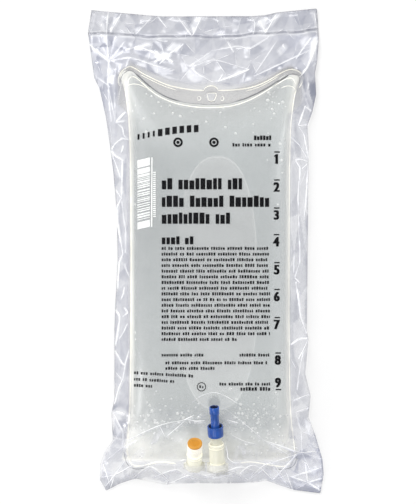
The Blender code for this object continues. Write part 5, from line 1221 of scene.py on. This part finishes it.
class BUILD_OT_print(Operator):
    """Lays the generic print: the volume scale, target marks, blocks for text and a bar field"""
    bl_idname = "fluidbag.print"
    bl_label = "Print"

    def execute(self, context):
        draw = random.Random(12)
        skin = search_tree(bpy.data.objects["bag_film"])
        ink = Ink(skin, 0.16 * MM)
        # The slanted row at the top: four narrow marks, then six bold ones.
        for k in range(10):
            bold = k >= 4
            x = 137.5 + (k * 5.1 if not bold else 20.4 + (k - 4) * 7.2)
            y = 137.2 - 8.4 * math.sin(min(1.0, (x - 137) / 60) * math.pi / 2)
            tall, wide, tilt = (7.2, 4.6, -0.9) if bold else (5.6, 2.0, -1.0)
            ink.bar(x, x + wide, y, tall, tilt * wide / 8)
        for px in (178, 214):
            ink.ring(px, 142.3, 4.8, 2.1)
            ink.ring(px, 142.3, 1.7, 1.69, 12)
        ink.ring(201.5, 386.8, 4.6, 0.8)
        ink.bar(199.3, 201.0, 386.6, 2.6)
        ink.bar(202.2, 203.4, 387.2, 2.0)
        for x0, x1, y, groups in ((161.8, 246.5, 183.8, (2, 8, 3)), (161.8, 270, 201.3, (4, 6, 8)),
                                  (161.8, 230, 218.2, (9, 3))):
            ink.words(x0, x1, y, 11.2, draw, 4.6, 1.15, 0.0, groups)
        ink.words(161.8, 197.5, 240.3, 8.0, draw, 3.9, 1.1, 0.0, (4, 2))
        for number, y in enumerate(SMALL_LINES):
            ink.words(161.6, 238 if number == 16 else 270, y, 3.1, draw)
        for x0, x1, y, slant in ((161.6, 203.5, 355, 0), (239.5, 270.5, 355, 0), (165.5, 268, 362.8, 0),
                                 (165.5, 218, 368.3, 0), (134, 194.5, 372.6, 3.6), (134, 174, 379, 2.4),
                                 (134, 155, 385.2, 1.2), (219.5, 271.5, 384, 0)):
            ink.words(x0, x1, y, 3.0, draw, slant=slant)
        ink.words(240.5, 271.5, 388.9, 3.6, draw, 2.0, 0.8)
        ink.words(254, 271.5, 137.8, 4.6, draw, 2.1, 0.6, 0.0, (7,))
        ink.words(232.5, 271.5, 144.8, 3.4, draw, 1.9, 0.8, 0.0, (3, 4, 4, 2))
        for figure, px, py in FIGURES:
            for aside in (-0.6, 0.0, 0.6):
                ink.figure(str(figure), px + aside, py, 9.6, 0.022)
            ink.bar(px - 2.4, px + 3.1, py + (-7.0 if figure < 9 else 7.0), 1.3)
            if figure == 1:
                ink.patch([(px - 2.7, py - 2.0), (px, py - 3.1), (px, py - 4.8), (px - 2.7, py - 3.3)])
        ink.piece("print_black", simple_finish("black ink", (0.002, 0.002, 0.0025), 0.6, 1.0, 0.2, 200,
                                               ior=1.12))

        pale = Ink(skin, 0.12 * MM)

        def slanted(top, tall):
            """A white bar across the bar field."""
            x0, x1 = 137.4, 149.8
            drop = 0.24 * (x1 - x0)
            pale.patch([(x0, top + tall + drop), (x1, top + tall), (x1, top), (x0, top + drop)])

        slanted(157.4, 7.8)
        slanted(219.6, 7.0)
        y = 166.6
        while y < 218.4:
            tall = min(draw.choice((0.5, 0.7, 0.9, 1.6, 2.4, 5.2 if y < 182 else 1.2)), 218.6 - y)
            slanted(y, tall)
            y += tall + draw.choice((0.8, 0.9, 1.3, 1.8))
        pale.patch([(150.9, 227), (152.3, 226.8), (152.5, 157.3), (151.5, 157.4)])
        for k in range(23):
            pale.bar(153.2, 155.8, 172.4 + 2.0 * k, 1.1)
        pale.piece("print_white", simple_finish("white ink", (0.93, 0.94, 0.93), 0.45, 0.88, 0.04, 200))
        return {"FINISHED"}


class PortLook(PropertyGroup):
    protector: FloatVectorProperty(name="Protector", description="Colour of the port protector",
                                   default=(0.005, 0.075, 0.38), **COLOUR)
    plug: FloatVectorProperty(name="Plug", description="Colour of the resealing plug",
                              default=(0.68, 0.28, 0.014), **COLOUR)
    tube: FloatVectorProperty(name="Port tubes", description="Colour of the port tubes",
                              default=(0.92, 0.91, 0.8), **COLOUR)
    segments: IntProperty(name="Segments", description="Sides round a turned piece", default=96, min=24)


def port_axis(node, axis):
    """Middle line of a round node: its foot, its length in mm, and its axis with two across it."""
    places, _ = arrays(frame["nodes"][node])
    axis = Vector(axis).normalized()
    side = axis.cross(Vector((0, 0, 1))).normalized()
    up = side.cross(axis)
    run, wide, tall = (places @ np.array(v) for v in (axis, side, up))
    middle = side * float(wide.max() + wide.min()) / 2 + up * float(tall.max() + tall.min()) / 2
    return middle + axis * float(run.min()), float(np.ptp(run)) / MM, axis, side, up


def lathe(name, node, axis, profile, material, body="pack", grooves=None):
    """A closed turned piece over a CAD node. The profile runs from its end, outside, to its foot
    and back inside, as radius and distance along from the foot, in mm. grooves gives a change of
    radius for an angle, a distance and a radius."""
    foot, _, axis, side, up = port_axis(node, axis)
    sides = settings("port_look").segments
    places, faces = [], []
    for radius, along in profile:
        for k in range(sides):
            turn = 2 * math.pi * k / sides
            size = radius + (grooves(turn, along, radius) if grooves and radius > 0 else 0.0)
            places.append(foot + axis * along * MM
                          + (side * math.cos(turn) + up * math.sin(turn)) * size * MM)
    for i in range(len(profile)):
        j = (i + 1) % len(profile)
        for k in range(sides):
            following = (k + 1) % sides
            faces.append((i * sides + k, i * sides + following, j * sides + following, j * sides + k))
    obj = add_piece(name, places, faces, material, body)
    with edited(obj.data) as mesh:
        bmesh.ops.remove_doubles(mesh, verts=mesh.verts, dist=2e-6)
        bmesh.ops.dissolve_degenerate(mesh, dist=1e-7, edges=mesh.edges)
        bmesh.ops.recalc_face_normals(mesh, faces=mesh.faces)
    bevel = obj.modifiers.new("rounding", "BEVEL")
    bevel.width, bevel.segments, bevel.limit_method = 0.12 * MM, 2, "ANGLE"
    bevel.angle_limit = math.radians(40)
    apply_modifiers(obj)
    make_smooth(obj)
    obj.data.set_sharp_from_angle(angle=math.radians(35))
    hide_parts(node)
    return obj


def tube_finish(name, share, glow, foot, axis, rings):
    """A milky flexible tube with faint draw lines and a painted glow, denser, creamier and glowing more at
    its rings, which are given by their distance in mm along the axis from the foot."""
    look = settings("port_look")
    shade = Shade(name)
    lines = shade.cloud(160, 2, 0.5, stretch=(1.0, 0.08, 0.3))
    facing = shade.facing(0.4)
    along = shade.vector("DOT_PRODUCT", shade.place(), tuple(axis), 1) - foot.dot(axis)
    ring = 0.0
    for at in rings:
        ring = (1.0 - (along - at * MM).size().span(0.1 * MM, 0.7 * MM)) + ring
    ring = ring.clamp()
    tint = shade.mix(lines, [c * 0.96 for c in look.tube], look.tube)
    tint = shade.mix(ring * 0.8, tint, (0.95, 0.9, 0.72))
    painted_glow = shade.mix(ring * 0.5 + 0.5, (0, 0, 0), look.tube)
    surface = shade.plastic(Base_Color=tint, Roughness=0.22 + 0.06 * lines, IOR=1.45,
                            Emission_Color=painted_glow, Emission_Strength=glow)
    share = share - 0.04 + 0.08 * lines + 0.45 * facing * facing + 0.35 * ring
    return shade.film(share.clamp(), surface)


def plug_finish(centre):
    """Resealing elastomer, deeper in colour inside the faint ring of its face."""
    look = settings("port_look")
    shade = Shade("resealing elastomer")
    inside = 1.0 - shade.vector("DISTANCE", shade.place(), tuple(centre), 1).span(3.2 * MM, 4.2 * MM)
    cloud = shade.cloud(260)
    tint = shade.mottled(cloud, look.plug, 0.95, 1.06)
    tint = shade.mix(inside, shade.mix(0.3, tint, (0.85, 0.45, 0.08)), tint)
    return shade.finish(shade.plastic(Base_Color=tint, Roughness=0.34 + 0.08 * cloud, IOR=1.45,
                                      Normal=shade.grain(1500, 0.1)))


def protector_finish(foot, axis):
    """Blue moulding, with painted shade darkening the hollows of its skirt and stem."""
    shade = Shade("blue moulding")
    cloud = shade.cloud(160)
    colour = settings("port_look").protector
    away = shade.vector("SUBTRACT", shade.place(), tuple(foot))
    along = shade.vector("DOT_PRODUCT", away, tuple(axis), 1)
    radius = shade.vector("LENGTH", shade.vector("CROSS_PRODUCT", away, tuple(axis)), (0, 0, 0), 1)
    # Painted shade: the hollows of the skirt and stem are painted nearly black.
    skirt = ((1.0 - radius.span(5.1 * MM, 5.5 * MM)) * radius.span(3.45 * MM, 3.6 * MM)
             * (1.0 - along.span(8.2 * MM, 8.9 * MM)) * along.span(4.9 * MM, 5.1 * MM))
    stem = (1.0 - radius.span(3.0 * MM, 3.2 * MM)) * along.span(10 * MM, 11 * MM)
    tint = shade.mix(cloud, [c * 0.85 for c in colour], [c * 1.2 for c in colour])
    tint = shade.mix((skirt + stem).clamp() * 0.9, tint, (0.0, 0.004, 0.03))
    return shade.finish(shade.plastic(Base_Color=tint, Roughness=0.2 + 0.06 * cloud, IOR=1.4,
                                      Coat_Weight=0.5, Normal=shade.grain(1200, 0.12)))


class BUILD_OT_ports(Operator):
    """Turns both ports: tubes, protector with its ribbed skirt, sleeve and resealing plug"""
    bl_idname = "fluidbag.ports"
    bl_label = "Ports"

    def execute(self, context):
        admin = PULL["axis"]
        rise, lean = math.radians(46.0), math.radians(1.0)
        med = (math.sin(lean), math.cos(lean) * math.cos(rise), math.cos(lean) * math.sin(rise))
        foot, long, axis = port_axis("administration_port_tube", admin)[:3]
        lathe("administration_tube", "administration_port_tube", admin,
              [(4.85, long), (5.9, long), (6.2, long - 0.5), (6.25, long - 1.8), (6.0, long - 3.2),
               (5.9, long - 4.0), (5.8, long / 2), (5.85, 5.6), (5.95, 5.0), (5.95, 0.0), (4.85, 0.0)],
              tube_finish("milky tube", 0.5, 0.26, foot, axis, (long, long - 3.0, 5.4)))
        foot, long, axis = port_axis("membrane_tube", admin)[:3]
        lathe("membrane_tube_clear", "membrane_tube", admin,
              [(3.6, long), (4.2, long), (4.45, long - 0.4), (4.45, 0.0), (3.6, 0.0), (3.6, 4.0),
               (0.0, 4.4), (0.0, 5.0), (3.6, 5.0)],
              tube_finish("clear tube", 0.35, 0.14, foot, axis, (4.7,)))

        def ribs(turn, along, radius):
            return 0.09 * math.cos(turn * 16) if 1.0 < along < 8.0 and radius > 5.5 else 0.0

        foot, long, axis = port_axis("port_protector", admin)[:3]
        lathe("protector", "port_protector", admin,
              [(3.05, long), (3.4, long), (3.8, long - 0.3), (3.85, long - 5.6), (3.75, long - 5.9),
               (3.35, long - 6.1), (3.3, 12.0), (3.45, 5.3), (5.0, 5.3), (5.1, 8.4), (5.9, 8.7),
               (6.15, 8.3), (6.15, 7.6), (6.15, 5.0), (6.15, 2.4), (6.15, 0.5), (5.9, 0.0), (5.0, 0.0),
               (5.0, 3.9), (2.7, 4.4), (2.7, long - 2.4)],
              protector_finish(foot, axis), "port_protector", ribs)
        foot, long, axis = port_axis("medication_port_tube", med)[:3]
        lathe("medication_tube", "medication_port_tube", med,
              [(4.6, long), (5.8, long), (6.1, long - 0.5), (6.1, long - 1.8), (5.8, long - 2.7),
               (5.7, long - 3.2), (5.65, 6.0), (5.7, 0.0), (4.6, 0.0)],
              tube_finish("milky short tube", 0.6, 0.38, foot, axis, (long, long - 2.6)))
        long = port_axis("injection_site_sleeve", med)[1]
        # The sleeve has a painted glow of its own colour.
        white = simple_finish("white sleeve", (0.95, 0.92, 0.83), 0.28, 0.96, 0.03, 140, glow=0.2)
        lathe("site_sleeve", "injection_site_sleeve", med,
              [(5.6, long), (5.8, long - 0.4), (5.85, long - 2.2), (5.5, long - 2.7), (5.35, long - 3.1),
               (5.5, long - 3.5), (5.85, long - 3.9), (5.85, long - 6.8), (5.5, long - 7.4),
               (4.9, long - 7.6), (4.9, long - 10.2), (4.5, long - 10.3), (4.5, 0.0), (3.4, 0.0),
               (3.4, long - 5.2), (5.2, long - 5.0), (5.2, long)], white)
        foot, long, axis = port_axis("resealing_plug", med)[:3]
        lathe("site_plug", "resealing_plug", med,
              [(0.0, long), (2.2, long - 0.12), (3.4, long - 0.1), (3.9, long - 0.34), (4.4, long - 0.06),
               (5.2, long - 0.02), (5.7, long - 0.35), (5.75, long - 1.2), (5.6, long - 2.0),
               (4.6, long - 2.2), (3.1, long - 2.3), (3.1, 0.0), (0.0, 0.0)],
              plug_finish(foot + axis * long * MM))
        return {"FINISHED"}


class FoamLook(PropertyGroup):
    spacing: FloatProperty(name="Bubbles", description="Bubbles to a square metre where they are densest",
                           default=230000.0, min=0)
    small: FloatProperty(name="Smallest", description="Radius of the smallest bubble", default=0.3 * MM,
                         min=0, unit="LENGTH")
    large: FloatProperty(name="Largest", description="Radius of the largest bubble", default=1.35 * MM,
                         min=0, unit="LENGTH")


def foam_tree(material):
    """Scatters flattened bubbles over a surface by its foam attribute."""
    tree = bpy.data.node_groups.new("bubbles", "GeometryNodeTree")
    socket = tree.interface.new_socket
    socket("Geometry", in_out="INPUT", socket_type="NodeSocketGeometry")
    names = {name: socket(name, in_out="INPUT", socket_type="NodeSocketFloat").identifier
             for name in ("Density", "Smallest", "Largest")}
    socket("Geometry", in_out="OUTPUT", socket_type="NodeSocketGeometry")

    def new(kind, inputs, settings=None):
        return add_node(tree, kind, settings, inputs).outputs

    given = new("NodeGroupInput", {})
    mask = new("GeometryNodeInputNamedAttribute", {"Name": "foam"}, {"data_type": "FLOAT"})
    dense = new("ShaderNodeMath", {0: given["Density"], 1: mask["Attribute"]}, {"operation": "MULTIPLY"})
    scatter = new("GeometryNodeDistributePointsOnFaces",
                  {"Mesh": given["Geometry"], "Density": dense[0], "Seed": 5})
    ball = new("GeometryNodeMeshIcoSphere", {"Radius": 1.0, "Subdivisions": 2})
    chance = new("FunctionNodeRandomValue", {"Seed": 3}, {"data_type": "FLOAT"})
    mostly_small = new("ShaderNodeMath", {0: chance[1], 1: 2.6}, {"operation": "POWER"})
    size = new("ShaderNodeMapRange", {"Value": mostly_small[0], "To Min": given["Smallest"],
                                      "To Max": given["Largest"]})
    flat = new("ShaderNodeVectorMath", {0: size[0], 1: (1.0, 1.0, 0.35)}, {"operation": "MULTIPLY"})
    put = new("GeometryNodeInstanceOnPoints", {"Points": scatter["Points"], "Instance": ball["Mesh"],
                                               "Scale": flat[0]})
    real = new("GeometryNodeRealizeInstances", {0: put[0]})
    finish = new("GeometryNodeSetMaterial", {"Geometry": real[0], "Material": material})
    new("NodeGroupOutput", {0: finish[0]})
    return tree, names


class BUILD_OT_bubbles(Operator):
    """Scatters small air bubbles under the front film, most in the lower corners"""
    bl_idname = "fluidbag.bubbles"
    bl_label = "Air bubbles"

    def execute(self, context):
        look = settings("foam_look")
        shade = Shade("air bubble")
        facing = shade.facing(0.5)
        surface = shade.plastic(Base_Color=(0.97, 0.98, 0.97, 1), Roughness=0.08, IOR=1.8)
        material = shade.film((0.6 + 0.5 * facing * facing).clamp(), surface)
        host = rounded_copy("solution", "bubble_host", 1)
        places, _ = arrays(host)
        x, y, z = places.T
        left, bottom = ease(-x, 45 * MM, 62 * MM), ease(-y, 112 * MM, 126 * MM)
        middle = 1 - ease(np.abs(x - 2 * MM), 12 * MM, 24 * MM)
        top = ease(y, 84 * MM, 100 * MM)
        right = ease(x, 42 * MM, 58 * MM) * ease(y, -20 * MM, 70 * MM)
        foam = (0.8 * bottom * (1 - 0.8 * middle) + 0.14 * left + 0.12 * top + 0.1 * right) * (z > 8 * MM)
        foam *= 0.35 + 0.65 * ease(np.sin(x / (7 * MM)) * np.sin(y / (6 * MM) + 1), -0.2, 0.5)
        give_attribute(host, "foam", np.clip(foam, 0, 1))
        # At the foot, the top and the right they stand a little proud of the fluid.
        places[:, 2] += 0.6 * MM * np.maximum(ease(-y, 118 * MM, 130 * MM), 0.6 * np.maximum(top, right))
        host.data.vertices.foreach_set("co", places.ravel())
        tree, names = foam_tree(material)
        scatter = host.modifiers.new("bubbles", "NODES")
        scatter.node_group = tree
        scatter[names["Density"]] = look.spacing
        scatter[names["Smallest"]] = look.small
        scatter[names["Largest"]] = look.large
        apply_modifiers(host)
        host.name = host.data.name = "air_bubbles"
        make_smooth(host)
        if not host.data.polygons:
            raise RuntimeError("no bubbles were scattered")
        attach(host, "pack")
        return {"FINISHED"}


class BUILD_OT_stage(Operator):
    """Lays the floor, the lamps and the camera"""
    bl_idname = "fluidbag.stage"
    bl_label = "Stage"

    def execute(self, context):
        scene = context.scene
        look = settings("stage_look")
        shade = Shade("white sweep")
        paths = [shade.node("ShaderNodeLightPath", {}, {}, out=n)
                 for n in ("Is Camera Ray", "Is Glossy Ray", "Is Transmission Ray")]
        seen = (paths[0] + paths[1] + paths[2]).clamp() * look.backlight
        matt = shade.plastic(Base_Color=(0.93, 0.93, 0.93, 1), Roughness=0.6)
        glow = shade.node("ShaderNodeEmission", {}, {"Color": WHITE, "Strength": 1.0})
        sweep = shade.finish(shade.node("ShaderNodeMixShader", {}, {0: seen, 1: matt, 2: glow}))
        mesh = bpy.data.meshes.new("floor")
        reach, level = 4.0, -0.2 * MM
        mesh.from_pydata([(-reach, -reach, level), (reach, -reach, level), (reach, reach, level),
                          (-reach, reach, level)], [], [(0, 1, 2, 3)])
        mesh.materials.append(sweep)
        floor = add_object("floor", mesh)

        # The room lights evenly, and the eye sees it plain white.
        world = bpy.data.worlds.new("studio")
        scene.world = world
        world.use_nodes = True
        tree = world.node_tree
        tree.nodes.clear()
        even, plain = (add_node(tree, "ShaderNodeBackground", {}, {"Color": WHITE, "Strength": strength})
                       for strength in (look.world, 1.0))
        path = add_node(tree, "ShaderNodeLightPath")
        pick = add_node(tree, "ShaderNodeMixShader", {}, {0: path.outputs["Is Camera Ray"],
                                                          1: even.outputs[0], 2: plain.outputs[0]})
        add_node(tree, "ShaderNodeOutputWorld", {}, {"Surface": pick.outputs[0]})

        for name, power, wide, tall, at in (("key", look.key, 0.75, 0.75, (-0.55, 0.85, 1.25)),
                                            ("side", look.side, 0.3, 0.3, (1.1, 0.25, 0.85)),
                                            ("strip", look.strip, 0.25, 0.25, (-1.05, -0.25, 0.75)),
                                            ("front", look.front, 1.5, 0.2, (-0.4, -1.05, 0.92))):
            lamp = bpy.data.lights.new(name, "AREA")
            lamp.energy, lamp.shape, lamp.size, lamp.size_y = power, "RECTANGLE", wide, tall
            obj = add_object(name, lamp)
            obj.location = at
            obj.rotation_euler = (Vector((0, 0, 0.02)) - Vector(at)).to_track_quat("-Z", "Y").to_euler()

        camera = bpy.data.cameras.new("camera")
        eye = add_object("camera", camera)
        eye.location = EYE
        camera.angle = 2 * math.atan(VIEW_SIZE[1] * PIXEL / 2 / EYE_HEIGHT)
        camera.clip_end = 20
        scene.camera = eye
        scene.view_settings.view_transform = "Standard"
        return {"FINISHED"}


class StageLook(PropertyGroup):
    backlight: FloatProperty(name="Sweep glow", description="Share of the floor's own white",
                             default=0.6, **SHARE)
    world: FloatProperty(name="Room light", description="Strength of the even light", default=0.5, min=0)
    key: FloatProperty(name="Key lamp", description="Power of the key lamp", default=13.5, min=0)
    side: FloatProperty(name="Side lamp", description="Power of the side lamp", default=5.0, min=0)
    strip: FloatProperty(name="Left lamp", description="Power of the left lamp", default=4.0, min=0)
    front: FloatProperty(name="Front lamp", description="Power of the front lamp", default=2.6, min=0)


class VIEW3D_PT_fluid_bag(Panel):
    """Lists the pieces and their settings"""
    bl_label = "Fluid Bag"
    bl_space_type = "VIEW_3D"
    bl_region_type = "UI"
    bl_category = "Fluid Bag"

    def draw(self, context):
        for group in LOOKS:
            box = self.layout.box()
            box.label(text=group.replace("_", " "))
            for name in LOOKS[group].__annotations__:
                box.prop(settings(group), name)
        for operator in STEPS:
            self.layout.operator(operator.bl_idname)


LOOKS = {"stage_look": StageLook, "overwrap_look": OverwrapLook, "bag_look": BagLook,
         "port_look": PortLook, "foam_look": FoamLook}
STEPS = [BUILD_OT_stage, BUILD_OT_bag, BUILD_OT_welds, BUILD_OT_print, BUILD_OT_bubbles, BUILD_OT_ports,
         BUILD_OT_overwrap]


def register():
    for kind in [*LOOKS.values(), *STEPS, VIEW3D_PT_fluid_bag]:
        bpy.utils.register_class(kind)
    for name, kind in LOOKS.items():
        setattr(bpy.types.Scene, name, PointerProperty(type=kind))


def unregister():
    for name in LOOKS:
        delattr(bpy.types.Scene, name)
    for kind in reversed([*LOOKS.values(), *STEPS, VIEW3D_PT_fluid_bag]):
        bpy.utils.unregister_class(kind)


def main():
    register()
    for operator in STEPS:
        group, name = operator.bl_idname.split(".")
        getattr(getattr(bpy.ops, group), name)()


if __name__ == "__main__":
    main()
